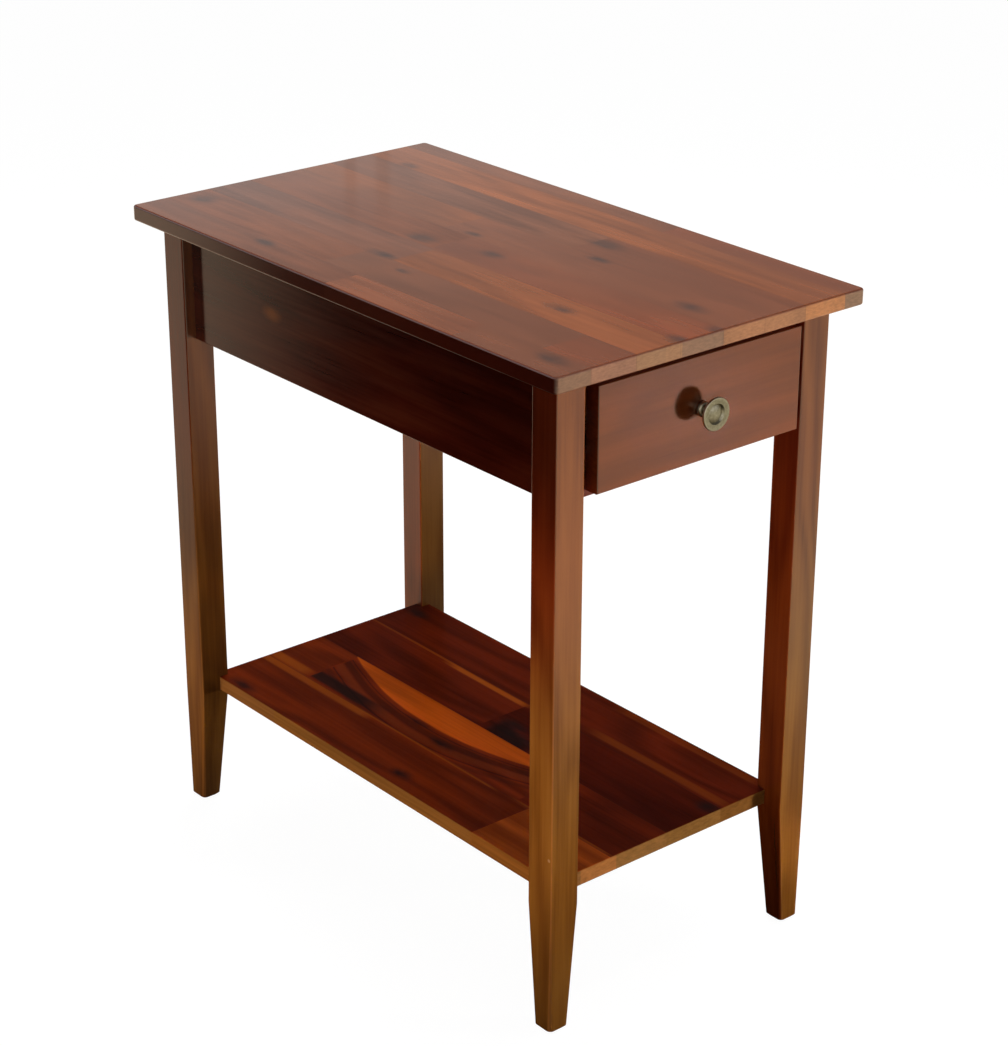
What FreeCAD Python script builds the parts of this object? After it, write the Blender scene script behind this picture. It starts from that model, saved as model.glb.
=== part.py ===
import FreeCAD, Part
import os
import re
import Sketcher

# Narrow chairside table with one drawer and a low shelf.
# The origin is on the floor under the middle of the table.
# X runs across the table, Y runs along it with the drawer at the -Y end, and Z is up.

document = FreeCAD.newDocument("chairside_table")

# Driving dimensions in millimetres.
SIZES = (
    ("table_length", 610.0),
    ("table_width", 352.0),
    ("table_height", 630.0),
    # Edge-glued top
    ("top_thickness", 15.0),
    ("end_overhang", 21.0),
    ("side_overhang", 20.0),
    ("top_corner_round", 4.0),
    ("top_edge_round", 2.0),
    # Square legs, tapered on their two inner faces below the shelf
    ("leg_side", 31.0),
    ("foot_side", 22.0),
    ("leg_arris_round", 1.6),
    ("foot_ease", 2.2),
    ("foot_corner_round", 4.5),
    # Aprons, flush with the inner faces of the legs
    ("apron_height", 112.0),
    ("apron_setback", 11.0),
    ("board_arris_round", 1.2),
    # Flat rails above and below the drawer
    ("rail_thickness", 18.0),
    ("rail_depth", 38.0),
    # Dowels of the aprons
    ("dowel_radius", 4.0),
    ("dowel_length", 30.0),
    ("dowel_edge_inset", 27.0),
    ("dowel_stagger", 15.0),
    ("dowel_end_gap", 0.5),
    ("dowel_fit", 0.05),
    # Dowels of the rails
    ("rail_dowel_radius", 3.0),
    ("rail_dowel_length", 24.0),
    ("rail_dowel_spacing", 11.0),
    # Low shelf, let into the inner corners of the legs
    ("shelf_top_height", 139.0),
    ("shelf_thickness", 15.0),
    ("shelf_setback", 20.5),
    # Slanted screw at each corner of the shelf
    ("shelf_screw_run", 28.0),
    ("shelf_screw_seat", 15.5),
    ("shelf_screw_length", 30.0),
    ("shelf_pocket_radius", 4.6),
    ("shelf_pocket_length", 34.0),
    # Cleats under the top
    ("cleat_side", 15.0),
    ("top_screw_spacing", 182.0),
    ("cleat_screw_spacing", 240.0),
    ("rail_screw_spacing", 120.0),
    ("screw_bite", 10.0),
    ("screw_radius", 1.9),
    ("screw_head_radius", 3.8),
    ("screw_head_height", 2.0),
    ("screw_fit", 0.05),
    # Glue blocks in the two back corners
    ("block_side", 40.0),
    ("block_height", 50.0),
    ("block_drop", 25.0),
    # Drawer front
    ("drawer_front_proud", 5.5),
    ("drawer_front_thickness", 15.0),
    ("drawer_front_side_gap", 9.0),
    ("drawer_front_top_gap", 10.2),
    ("drawer_front_foot_gap", 7.0),
    ("closing_gap", 0.5),
    ("front_screw_spread", 160.0),
    ("front_screw_rise", 34.0),
    # Dovetailed drawer box
    ("box_board", 12.0),
    ("box_height", 69.0),
    ("box_back_gap", 37.5),
    ("tail_width", 16.0),
    ("tail_flare", 2.0),
    ("box_bottom_thickness", 4.0),
    ("box_bottom_inset", 8.0),
    ("groove_depth", 5.0),
    ("groove_fit", 0.1),
    # Ball slides at the sides of the drawer
    ("slide_width", 12.7),
    ("slide_height", 35.0),
    ("slide_length", 400.0),
    ("slide_inset", 2.0),
    ("slide_sheet", 1.2),
    ("slide_flange", 2.0),
    ("slide_gap", 2.0),
    ("outer_flange_reach", 10.2),
    ("inner_flange_reach", 9.0),
    ("race_reach", 6.6),
    ("ball_radius", 2.0),
    ("ball_fit", 0.1),
    ("ball_pitch", 20.0),
    ("retainer_length", 96.0),
    ("retainer_start", 152.0),
    ("retainer_sheet", 0.8),
    ("retainer_back_gap", 1.0),
    ("slide_screw_head_radius", 3.2),
    ("slide_screw_length", 11.0),
    ("slide_screw_inset", 30.0),
    # Turned knob
    ("knob_radius", 14.8),
    ("knob_projection", 18.0),
    ("knob_foot_radius", 6.3),
    ("knob_bulb_round", 3.3),
    ("knob_neck_radius", 4.5),
    ("knob_neck_height", 5.4),
    ("knob_cove_round", 9.5),
    ("knob_rim_thickness", 2.2),
    ("knob_cove_inset", 1.4),
    ("knob_edge_round", 0.8),
    ("knob_groove_edge", 9.3),
    ("knob_face_fall", 0.5),
    ("knob_groove_radius", 7.7),
    ("knob_groove_depth", 2.2),
    ("knob_button_rise", 1.9),
    ("knob_screw_radius", 2.0),
    ("knob_screw_bite", 7.0),
    ("knob_screw_head_radius", 4.5),
)

# Numbers of like pieces and pattern copies.
TAILS = 3
BALLS_IN_ROW = 5
SCREWS_IN_SLIDE = 3

# How near two coordinates must be to count as one.
SAME = 1e-4

# Places and sizes that follow from the driving dimensions.
PLACES = (
    ("leg_x", "table_width / 2 - side_overhang"),
    ("leg_y", "table_length / 2 - end_overhang"),
    ("inner_x", "leg_x - leg_side"),
    ("inner_y", "leg_y - leg_side"),
    ("top_underside", "table_height - top_thickness"),
    ("apron_bottom", "top_underside - apron_height"),
    ("apron_thickness", "leg_side - apron_setback"),
    ("apron_x", "leg_x - apron_setback"),
    ("apron_y", "leg_y - apron_setback"),
    ("apron_middle", "apron_setback + apron_thickness / 2"),
    ("dowel_reach", "dowel_length / 2 + dowel_end_gap"),
    ("rail_dowel_reach", "rail_dowel_length / 2 + dowel_end_gap"),
    ("dowel_hole_radius", "dowel_radius + dowel_fit"),
    ("rail_dowel_hole_radius", "rail_dowel_radius + dowel_fit"),
    ("screw_hole_radius", "screw_radius + screw_fit"),
    ("shelf_x", "leg_x - shelf_setback"),
    ("shelf_y", "leg_y - shelf_setback"),
    ("shelf_underside", "shelf_top_height - shelf_thickness"),
    ("shelf_middle", "shelf_underside + shelf_thickness / 2"),
    ("front_face_y", "leg_y + drawer_front_proud"),
    ("front_back_y", "front_face_y - drawer_front_thickness"),
    ("front_x", "inner_x - drawer_front_side_gap"),
    ("front_low", "apron_bottom + drawer_front_foot_gap"),
    ("front_high", "top_underside - drawer_front_top_gap"),
    ("front_middle", "(front_low + front_high) / 2"),
    ("rail_y", "front_back_y - closing_gap"),
    ("rail_back_y", "rail_y - rail_depth"),
    ("rail_dowel_y", "(rail_y + inner_y) / 2"),
    ("rail_screw_y", "rail_y - rail_depth / 2"),
    ("opening_low", "apron_bottom + rail_thickness"),
    ("opening_high", "top_underside - rail_thickness"),
    ("box_middle", "(opening_low + opening_high) / 2"),
    ("box_low", "box_middle - box_height / 2"),
    ("box_high", "box_middle + box_height / 2"),
    ("box_x", "inner_x - slide_width"),
    ("box_inner_x", "box_x - box_board"),
    ("box_front_inner_y", "front_back_y - box_board"),
    ("box_back_y", "block_side + box_back_gap - inner_y"),
    ("box_back_inner_y", "box_back_y + box_board"),
    ("box_floor", "box_low + box_bottom_inset"),
    ("tail_pitch", f"box_height / {TAILS}"),
    ("tail_neck", "tail_width - 2 * tail_flare"),
    ("cleat_low", "top_underside - cleat_side"),
    ("cleat_inner_x", "inner_x - cleat_side"),
    ("cleat_middle_x", "inner_x - cleat_side / 2"),
    ("cleat_middle_z", "top_underside - cleat_side / 2"),
    ("cleat_middle_y", "(inner_y - rail_back_y) / 2"),
    ("cleat_screw_length", "cleat_side + screw_bite"),
    ("rail_screw_length", "rail_thickness + screw_bite"),
    ("front_screw_length", "box_board + screw_bite"),
    ("block_high", "top_underside - block_drop"),
    ("slide_half", "slide_height / 2"),
    ("slide_front_y", "front_back_y - slide_inset"),
    ("ball_radius_open", "ball_radius + ball_fit"),
    ("outer_flange_face", "slide_half - slide_flange"),
    ("ball_level", "outer_flange_face - slide_gap / 2"),
    ("inner_flange_face", "outer_flange_face - slide_gap"),
    ("inner_flange_back", "inner_flange_face - slide_flange"),
    ("retainer_top", "ball_level + retainer_sheet / 2"),
    ("retainer_underside", "ball_level - retainer_sheet / 2"),
    ("retainer_back", "slide_sheet + retainer_back_gap"),
    ("retainer_reach", "race_reach + ball_radius"),
    ("first_ball", f"(retainer_length - {BALLS_IN_ROW - 1} * ball_pitch) / 2"),
    ("inner_web", "slide_width - slide_sheet"),
    ("inner_reach", "slide_width - inner_flange_reach"),
    ("slide_screw_pitch", "(slide_length - 2 * slide_screw_inset) / 2"),
    ("knob_level", "front_middle"),
    ("knob_rim_back", "knob_projection - knob_rim_thickness"),
    ("knob_cove_radius", "knob_radius - knob_cove_inset"),
    ("knob_edge_radius", "knob_radius - knob_edge_round"),
    ("knob_edge_level", "knob_projection - knob_edge_round"),
    ("knob_face_level", "knob_projection - knob_face_fall"),
    ("knob_groove_level", "knob_projection - knob_groove_depth"),
    ("knob_button_level", "knob_groove_level + knob_button_rise"),
    ("knob_button_round", "(knob_groove_radius ^ 2 + knob_button_rise ^ 2) / (2 * knob_button_rise)"),
    ("knob_hole_radius", "knob_screw_radius + screw_fit"),
    ("knob_screw_length", "box_board + drawer_front_thickness + knob_screw_bite"),
)

SIZE_NAMES = {name for name, _ in SIZES}
PLACE_NAMES = {name for name, _ in PLACES}


def bound(text, home=""):
    """Writes the names in an expression with the sheet that each one lives in."""
    def full(match):
        word = match.group(0)
        if word in SIZE_NAMES:
            return "sizes." + word
        if word in PLACE_NAMES and home != "places":
            return "places." + word
        return word
    return re.sub(r"[a-z][a-z_]*", full, text)


def make_sheet(name, rows, home):
    """A sheet whose first column names a value and whose second column holds it."""
    sheet = document.addObject("Spreadsheet::Sheet", name)
    for number, (alias, content) in enumerate(rows, start=1):
        sheet.set("A" + str(number), alias)
        cell = "B" + str(number)
        text = str(content) if home == "sizes" else "=" + bound(content, home)
        sheet.set(cell, text)
        sheet.setAlias(cell, alias)
    document.recompute()
    return sheet


sizes_sheet = make_sheet("sizes", SIZES, "sizes")
places_sheet = make_sheet("places", PLACES, "places")


def value(name):
    """The number that a size or a place has now."""
    sheet = sizes_sheet if name in SIZE_NAMES else places_sheet
    return float(sheet.get(name))


# Planes of a body: the plane's role, and the side of it that its normal points to.
PLANES = {"x": ("YZ_Plane", 1), "y": ("XZ_Plane", -1), "z": ("XY_Plane", 1)}
AXES = {"x": FreeCAD.Vector(1, 0, 0), "y": FreeCAD.Vector(0, 1, 0), "z": FreeCAD.Vector(0, 0, 1)}


def set_place(thing, at, turn=None):
    """Binds the place of an object to three expressions, after an optional turn."""
    if turn is not None:
        thing.Placement = FreeCAD.Placement(FreeCAD.Vector(0, 0, 0), turn)
    for axis, text in zip("xyz", at):
        thing.setExpression("Placement.Base." + axis, bound(text))


def new_body(label, at=("0", "0", "0"), turn=None):
    body = document.addObject("PartDesign::Body", label)
    body.Label = label
    set_place(body, at, turn)
    return body


def new_sketch(body, axis, level="0"):
    """A sketch square to an axis of its body, at a level along that axis."""
    role, side = PLANES[axis]
    plane = [item for item in body.Origin.OriginFeatures if item.Role == role][0]
    sketch = body.newObject("Sketcher::SketchObject", body.Name + "_sketch")
    sketch.AttachmentSupport = (plane, [""])
    sketch.MapMode = "FlatFace"
    sketch.setExpression("AttachmentOffset.Base.z", bound(f"{side} * ({level})"))
    return sketch


def fix_point(sketch, geometry, corner, across, up):
    """Ties one point of a sketch to two expressions."""
    for kind, text in (("DistanceX", across), ("DistanceY", up)):
        index = sketch.addConstraint(Sketcher.Constraint(kind, -1, 1, geometry, corner, 0.0))
        sketch.setExpression(f"Constraints[{index}]", bound(text))


def draw_outline(sketch, points):
    """A closed outline of straight lines through points given as expressions."""
    count = len(points)
    for index in range(count):
        start = FreeCAD.Vector(index, index * index, 0)
        end = FreeCAD.Vector(index + 1, (index + 1) * (index + 1), 0)
        sketch.addGeometry(Part.LineSegment(start, end), False)
    for index in range(count):
        sketch.addConstraint(Sketcher.Constraint("Coincident", (index - 1) % count, 2, index, 1))
    for index, (across, up) in enumerate(points):
        fix_point(sketch, index, 1, across, up)


def draw_circle(sketch, across, up, radius):
    """A circle whose centre and radius are expressions."""
    index = sketch.addGeometry(Part.Circle(FreeCAD.Vector(0, 0, 0), AXES["z"], 1.0), False)
    fix_point(sketch, index, 3, across, up)
    size = sketch.addConstraint(Sketcher.Constraint("Radius", index, 1.0))
    sketch.setExpression(f"Constraints[{size}]", bound(radius))


def draw_rounded(sketch, width, depth, radius, inset=""):
    """A rectangle from the origin with a quarter circle at each corner, or one inset all round."""
    r = value(radius)
    low = value(inset) if inset else 0.0
    wide, deep = value(width) - low, value(depth) - low
    near = inset or "0"
    far = " - " + inset if inset else ""
    # Straight sides in turn, each with the expression and level that it lies at.
    sides = (
        ((low + r, low), (wide - r, low), "Horizontal", "DistanceY", near, low),
        ((wide, low + r), (wide, deep - r), "Vertical", "DistanceX", width + far, wide),
        ((wide - r, deep), (low + r, deep), "Horizontal", "DistanceY", depth + far, deep),
        ((low, deep - r), (low, low + r), "Vertical", "DistanceX", near, low),
    )
    for first, last, *_ in sides:
        ends = (FreeCAD.Vector(first[0], first[1], 0), FreeCAD.Vector(last[0], last[1], 0))
        sketch.addGeometry(Part.LineSegment(*ends), False)
    for index, (corner_x, corner_y) in enumerate(((wide, low), (wide, deep), (low, deep), (low, low))):
        last, first = sides[index][1], sides[(index + 1) % 4][0]
        start, end = FreeCAD.Vector(last[0], last[1], 0), FreeCAD.Vector(first[0], first[1], 0)
        corner = FreeCAD.Vector(corner_x, corner_y, 0)
        centre = start + end - corner
        middle = centre + (corner - centre).normalize() * r
        sketch.addGeometry(Part.Arc(start, middle, end), False)
    for index, side in enumerate(sides):
        arc = 4 + index
        sketch.addConstraint(Sketcher.Constraint("Tangent", index, 2, arc, 1))
        sketch.addConstraint(Sketcher.Constraint("Tangent", arc, 2, (index + 1) % 4, 1))
        sketch.addConstraint(Sketcher.Constraint(side[2], index))
    for index, (_, _, _, kind, text, level) in enumerate(sides):
        place = sketch.addConstraint(Sketcher.Constraint(kind, -1, 1, index, 1, level))
        sketch.setExpression(f"Constraints[{place}]", bound(text))
        size = sketch.addConstraint(Sketcher.Constraint("Radius", 4 + index, r))
        sketch.setExpression(f"Constraints[{size}]", bound(radius))


def pad(body, sketch, axis, way, length):
    """Raises a sketch along an axis, towards +1 or -1."""
    feature = body.newObject("PartDesign::Pad", body.Name + "_pad")
    feature.Profile = sketch
    feature.Reversed = way != PLANES[axis][1]
    feature.setExpression("Length", bound(length))
    document.recompute([body, sketch, feature])
    return feature


def pocket(body, sketch, axis, way, length):
    """Cuts a sketch into the body along an axis, towards +1 or -1, and proves that it cut."""
    before = body.Shape.Volume
    feature = body.newObject("PartDesign::Pocket", body.Name + "_pocket")
    feature.Profile = sketch
    feature.Reversed = way == PLANES[axis][1]
    feature.setExpression("Length", bound(length))
    document.recompute([body, sketch, feature])
    if not body.Shape.Volume < before:
        raise RuntimeError(body.Label + ": a pocket cut nothing")
    return feature


def drill(body, axis, way, level, centres, radius, depth):
    """Round holes of one size from a level of the body, along an axis."""
    sketch = new_sketch(body, axis, level)
    for across, up in centres:
        draw_circle(sketch, across, up, radius)
    return pocket(body, sketch, axis, way, depth)


def ease(body, radius, chosen):
    """Rounds the edges of the body's last feature that a test picks."""
    base = body.Tip
    names = [f"Edge{number}" for number, edge in enumerate(base.Shape.Edges, start=1) if chosen(edge)]
    feature = body.newObject("PartDesign::Fillet", body.Name + "_ease")
    feature.Base = (base, names)
    feature.setExpression("Radius", bound(radius))
    document.recompute([body, feature])
    return feature


def lies_at(edge, axis, level):
    """Whether an edge lies whole in the plane where one coordinate has a level."""
    box = edge.BoundBox
    low = getattr(box, axis.upper() + "Min")
    high = getattr(box, axis.upper() + "Max")
    return abs(low - level) < SAME and abs(high - level) < SAME


class Board:
    """A straight board between two corners of the table's frame, with its own frame at the first."""

    def __init__(self, label, low, high):
        self.low = low
        self.body = new_body(label, low)
        self.size = [f"({high[index]}) - ({low[index]})" for index in range(3)]
        sketch = new_sketch(self.body, "z")
        across, along = self.size[0], self.size[1]
        draw_outline(sketch, (("0", "0"), (across, "0"), (across, along), ("0", along)))
        pad(self.body, sketch, "z", 1, self.size[2])

    def local(self, axis, text):
        return f"({text}) - ({self.low['xyz'.index(axis)]})"

    def drill(self, axis, way, level, centres, radius, depth):
        """Holes at places given in the table's frame."""
        others = [name for name in "xyz" if name != axis]
        places = [[self.local(name, text) for name, text in zip(others, centre)] for centre in centres]
        drill(self.body, axis, way, self.local(axis, level), places, radius, depth)

    def cut(self, axis, way, level, outline, depth):
        """A straight-sided recess whose outline is given in the table's frame."""
        others = [name for name in "xyz" if name != axis]
        sketch = new_sketch(self.body, axis, self.local(axis, level))
        points = [[self.local(name, text) for name, text in zip(others, point)] for point in outline]
        draw_outline(sketch, points)
        return pocket(self.body, sketch, axis, way, depth)

    def ease_along(self, axis, faces):
        """Rounds the edges along one axis that lie in the named end planes, such as z0 or y1."""
        box = self.body.Shape.BoundBox
        place = self.body.Placement.Base

        def chosen(edge):
            run = edge.BoundBox
            length = getattr(run, axis.upper() + "Length")
            if abs(length - getattr(box, axis.upper() + "Length")) > SAME:
                return False
            for face in faces:
                name = face[0].upper()
                level = getattr(box, name + ("Min" if face[1] == "0" else "Max"))
                if lies_at(edge, face[0], level - getattr(place, face[0])):
                    return True
            return False

        ease(self.body, "board_arris_round", chosen)


def group(label, pieces):
    """Like pieces kept together as separate solids."""
    if len(pieces) == 1:
        pieces[0].Label = label
        return pieces[0]
    together = document.addObject("Part::Compound", label)
    together.Links = pieces
    together.Label = label
    return together


def rod(name, at, direction, radius, length):
    """A round rod that starts at a place and runs along a direction."""
    piece = document.addObject("Part::Cylinder", name)
    piece.setExpression("Radius", bound(radius))
    piece.setExpression("Height", bound(length))
    set_place(piece, at, FreeCAD.Rotation(AXES["z"], direction))
    return piece


def dowels(label, places, direction_axis, radius, length):
    """Dowels whose middles are at the places."""
    pieces = []
    direction = AXES[direction_axis]
    for at in places:
        start = list(at)
        start["xyz".index(direction_axis)] += f" - {length} / 2"
        pieces.append(rod(label + "_piece", start, direction, radius, length))
    return group(label, pieces)


def pan_screws(label, places, direction, head_radius, radius, length):
    """Screws with round heads that stand on the surface at each place."""
    pieces = []
    back = direction * -1
    for at in places:
        shank = rod(label + "_shank", at, direction, radius, length)
        head = rod(label + "_head", at, back, head_radius, "screw_head_height")
        screw = document.addObject("Part::MultiFuse", label + "_piece")
        screw.Shapes = [shank, head]
        pieces.append(screw)
    return group(label, pieces)


NODES = []


def keep(thing):
    """Adds a finished sub-part to the table."""
    NODES.append(thing)
    return thing


def mirrored(sign, text):
    """A place on the right side of the table, or its mirror image on the left."""
    return text if sign > 0 else f"-({text})"


# Sides of the table and the sign of X or Y there.
SIDES = (("left", -1), ("right", 1))


def make_top():
    body = new_body("table_top", ("-table_width / 2", "-table_length / 2", "top_underside"))
    sketch = new_sketch(body, "z")
    draw_rounded(sketch, "table_width", "table_length", "top_corner_round")
    pad(body, sketch, "z", 1, "top_thickness")
    thickness = value("top_thickness")
    ease(body, "top_edge_round", lambda edge: lies_at(edge, "z", 0) or lies_at(edge, "z", thickness))
    centres = []
    for at in top_screw_places() + rail_screw_places():
        centres.append((f"({at[0]}) + table_width / 2", f"({at[1]}) + table_length / 2"))
    drill(body, "z", 1, "0", centres, "screw_hole_radius", "screw_bite + dowel_end_gap")
    keep(body)


def top_screw_places():
    """Undersides of the cleats where the screws into the top go."""
    places = []
    for _, sign in SIDES:
        for step in (-1, 0, 1):
            places.append((mirrored(sign, "cleat_middle_x"), f"{step} * top_screw_spacing", "cleat_low"))
    return places


def rail_screw_places():
    """Underside of the upper rail where the screws into the top go."""
    half = "rail_screw_spacing / 2"
    return [(mirrored(sign, half), "-rail_screw_y", "opening_high") for _, sign in SIDES]


def cleat_screw_places(sign):
    """Inner face of a cleat where the screws into the apron go."""
    half = "cleat_screw_spacing / 2"
    return [(mirrored(sign, "cleat_inner_x"), mirrored(way, half), "cleat_middle_z") for way in (-1, 1)]


def dowel_heights(extra="0"):
    low = f"apron_bottom + dowel_edge_inset + {extra}"
    high = f"top_underside - dowel_edge_inset - {extra}"
    return (low, high)


def rail_dowel_spots():
    """Distances of the rails' dowels from the middle of the table, towards the drawer end."""
    return ("rail_dowel_y + rail_dowel_spacing / 2", "rail_dowel_y - rail_dowel_spacing / 2")


def rail_heights():
    return ("apron_bottom + rail_thickness / 2", "top_underside - rail_thickness / 2")


def make_leg(name, sign_x, sign_y, quarter_turns):
    """A leg whose own frame has its outer corner as origin and runs towards the table's middle."""
    turn = FreeCAD.Rotation(AXES["z"], 90 * quarter_turns)
    body = new_body(name + "_blank", (mirrored(sign_x, "leg_x"), mirrored(sign_y, "leg_y"), "0"), turn)
    sole = new_sketch(body, "z")
    draw_rounded(sole, "foot_side", "foot_side", "foot_corner_round", "foot_ease")
    foot = new_sketch(body, "z", "foot_ease")
    draw_rounded(foot, "foot_side", "foot_side", "foot_corner_round")
    knee = new_sketch(body, "z", "shelf_underside")
    draw_rounded(knee, "leg_side", "leg_side", "leg_arris_round")
    taper = body.newObject("PartDesign::AdditiveLoft", name + "_taper")
    taper.Profile = sole
    taper.Sections = [foot, knee]
    taper.Ruled = True
    document.recompute()
    shank = new_sketch(body, "z", "shelf_underside")
    draw_rounded(shank, "leg_side", "leg_side", "leg_arris_round")
    pad(body, shank, "z", 1, "top_underside - shelf_underside")
    # Housing for the corner of the shelf
    housing = new_sketch(body, "z", "shelf_underside")
    near, far = "shelf_setback", "leg_side"
    draw_outline(housing, ((near, near), (far, near), (far, far), (near, far)))
    pocket(body, housing, "z", 1, "shelf_thickness")
    # The leg's own x axis runs along the table after an odd number of quarter turns.
    along, across = ("x", "y") if quarter_turns % 2 else ("y", "x")
    drill(body, along, -1, "leg_side", [("apron_middle", text) for text in dowel_heights()],
          "dowel_hole_radius", "dowel_reach")
    if sign_y > 0:
        centres = [("apron_middle", text) for text in dowel_heights("dowel_stagger")]
        drill(body, across, -1, "leg_side", centres, "dowel_hole_radius", "dowel_reach")
    else:
        spots = [(spot, level) for spot in rail_dowel_spots() for level in rail_heights()]
        centres = [(f"leg_y - ({spot})", level) for spot, level in spots]
        drill(body, across, -1, "leg_side", centres, "rail_dowel_hole_radius", "rail_dowel_reach")
    start, direction = shelf_screw_line(sign_x, sign_y)
    pilot = rod(name + "_pilot", start, direction, "screw_hole_radius",
                "shelf_screw_length + dowel_end_gap")
    leg = document.addObject("Part::Cut", name)
    leg.Base = body
    leg.Tool = pilot
    leg.Label = name
    keep(leg)


def shelf_screw_line(sign_x, sign_y):
    """The place of a shelf screw's head seat and the way that the screw points, up into the leg."""
    run, rise = value("shelf_screw_run"), value("shelf_thickness") / 2
    slant = FreeCAD.Vector(sign_x * run, sign_y * run, rise * 2 ** 0.5).normalize()
    # Shares of the seat's distance from the shelf's corner, along each axis.
    seat_shares = (abs(slant.x), abs(slant.y), slant.z)
    start = (
        mirrored(sign_x, f"shelf_x - {seat_shares[0]} * shelf_screw_seat"),
        mirrored(sign_y, f"shelf_y - {seat_shares[1]} * shelf_screw_seat"),
        f"shelf_middle - {seat_shares[2]} * shelf_screw_seat",
    )
    return start, slant


def make_shelf():
    board = Board("lower_shelf_board", ("-shelf_x", "-shelf_y", "shelf_underside"),
                  ("shelf_x", "shelf_y", "shelf_top_height"))
    thickness = value("shelf_thickness")
    ease(board.body, "board_arris_round",
         lambda edge: lies_at(edge, "z", 0) or lies_at(edge, "z", thickness))
    tools = []
    screws = []
    for sign_x in (-1, 1):
        for sign_y in (-1, 1):
            start, direction = shelf_screw_line(sign_x, sign_y)
            back = direction * -1
            tools.append(rod("shelf_hole", start, direction, "screw_hole_radius", "shelf_screw_length"))
            tools.append(rod("shelf_pocket", start, back, "shelf_pocket_radius", "shelf_pocket_length"))
            screws.append((start, direction))
    bores = document.addObject("Part::MultiFuse", "shelf_bores")
    bores.Shapes = tools
    shelf = document.addObject("Part::Cut", "lower_shelf")
    shelf.Base = board.body
    shelf.Tool = bores
    shelf.Label = "lower_shelf"
    keep(shelf)
    pieces = []
    for start, direction in screws:
        pieces.append(pan_screws("shelf_screw", [start], direction, "screw_head_radius", "screw_radius",
                                 "shelf_screw_length"))
    keep(group("shelf_screws", pieces))


def make_side_apron(side, sign):
    low = ("inner_x", "-inner_y", "apron_bottom")
    high = ("apron_x", "inner_y", "top_underside")
    if sign < 0:
        low = ("-apron_x", "-inner_y", "apron_bottom")
        high = ("-inner_x", "inner_y", "top_underside")
    board = Board("side_apron_" + side, low, high)
    board.ease_along("y", ("z0",))
    middle = mirrored(sign, "leg_x - apron_middle")
    centres = [(middle, text) for text in dowel_heights()]
    board.drill("y", 1, "-inner_y", centres, "dowel_hole_radius", "dowel_reach")
    board.drill("y", -1, "inner_y", centres, "dowel_hole_radius", "dowel_reach")
    inner = mirrored(sign, "inner_x")
    board.drill("x", sign, inner, [at[1:] for at in cleat_screw_places(sign)], "screw_hole_radius",
                "screw_bite + dowel_end_gap")
    board.drill("x", sign, inner, [(text, "box_middle") for text in slide_screw_spots(0)],
                "screw_hole_radius", "slide_screw_length")
    keep(board.body)


def make_back_apron():
    board = Board("back_apron", ("-inner_x", "inner_y", "apron_bottom"),
                  ("inner_x", "apron_y", "top_underside"))
    board.ease_along("x", ("z0",))
    centres = [("leg_y - apron_middle", text) for text in dowel_heights("dowel_stagger")]
    board.drill("x", 1, "-inner_x", centres, "dowel_hole_radius", "dowel_reach")
    board.drill("x", -1, "inner_x", centres, "dowel_hole_radius", "dowel_reach")
    keep(board.body)


def make_rails():
    for name, low, high, level in (
        ("front_bottom_rail", "apron_bottom", "opening_low", rail_heights()[0]),
        ("front_top_rail", "opening_high", "top_underside", rail_heights()[1]),
    ):
        board = Board(name, ("-inner_x", "-rail_y", low), ("inner_x", "-rail_back_y", high))
        board.ease_along("x", ("y0",))
        centres = [(f"-({spot})", level) for spot in rail_dowel_spots()]
        board.drill("x", 1, "-inner_x", centres, "rail_dowel_hole_radius", "rail_dowel_reach")
        board.drill("x", -1, "inner_x", centres, "rail_dowel_hole_radius", "rail_dowel_reach")
        if name == "front_top_rail":
            board.drill("z", 1, "opening_high", [at[:2] for at in rail_screw_places()],
                        "screw_hole_radius", "rail_thickness")
        keep(board.body)


def make_dowels():
    side, back, rail = [], [], []
    for _, sign in SIDES:
        for level in dowel_heights():
            for end in (-1, 1):
                side.append((mirrored(sign, "leg_x - apron_middle"), mirrored(end, "inner_y"), level))
        for level in dowel_heights("dowel_stagger"):
            back.append((mirrored(sign, "inner_x"), "leg_y - apron_middle", level))
        for level in rail_heights():
            for spot in rail_dowel_spots():
                rail.append((mirrored(sign, "inner_x"), f"-({spot})", level))
    keep(dowels("side_apron_dowels", side, "y", "dowel_radius", "dowel_length"))
    keep(dowels("back_apron_dowels", back, "x", "dowel_radius", "dowel_length"))
    keep(dowels("rail_dowels", rail, "x", "rail_dowel_radius", "rail_dowel_length"))


def make_cleats():
    screws = []
    for side, sign in SIDES:
        low = ("cleat_inner_x", "-rail_back_y", "cleat_low")
        high = ("inner_x", "inner_y", "top_underside")
        if sign < 0:
            low = ("-inner_x", "-rail_back_y", "cleat_low")
            high = ("-cleat_inner_x", "inner_y", "top_underside")
        board = Board("top_cleat_" + side, low, high)
        ups = [at[:2] for at in top_screw_places() if at[0] == mirrored(sign, "cleat_middle_x")]
        board.drill("z", 1, "cleat_low", ups, "screw_hole_radius", "cleat_side")
        places = cleat_screw_places(sign)
        board.drill("x", sign, places[0][0], [at[1:] for at in places], "screw_hole_radius",
                    "cleat_side")
        keep(board.body)
        screws.append(pan_screws("cleat_screw", places, AXES["x"] * sign, "screw_head_radius",
                                 "screw_radius", "cleat_screw_length"))
    keep(group("cleat_screws", screws))
    keep(pan_screws("top_screws", top_screw_places(), AXES["z"], "screw_head_radius", "screw_radius",
                    "cleat_screw_length"))
    keep(pan_screws("rail_screws", rail_screw_places(), AXES["z"], "screw_head_radius", "screw_radius",
                    "rail_screw_length"))


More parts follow.
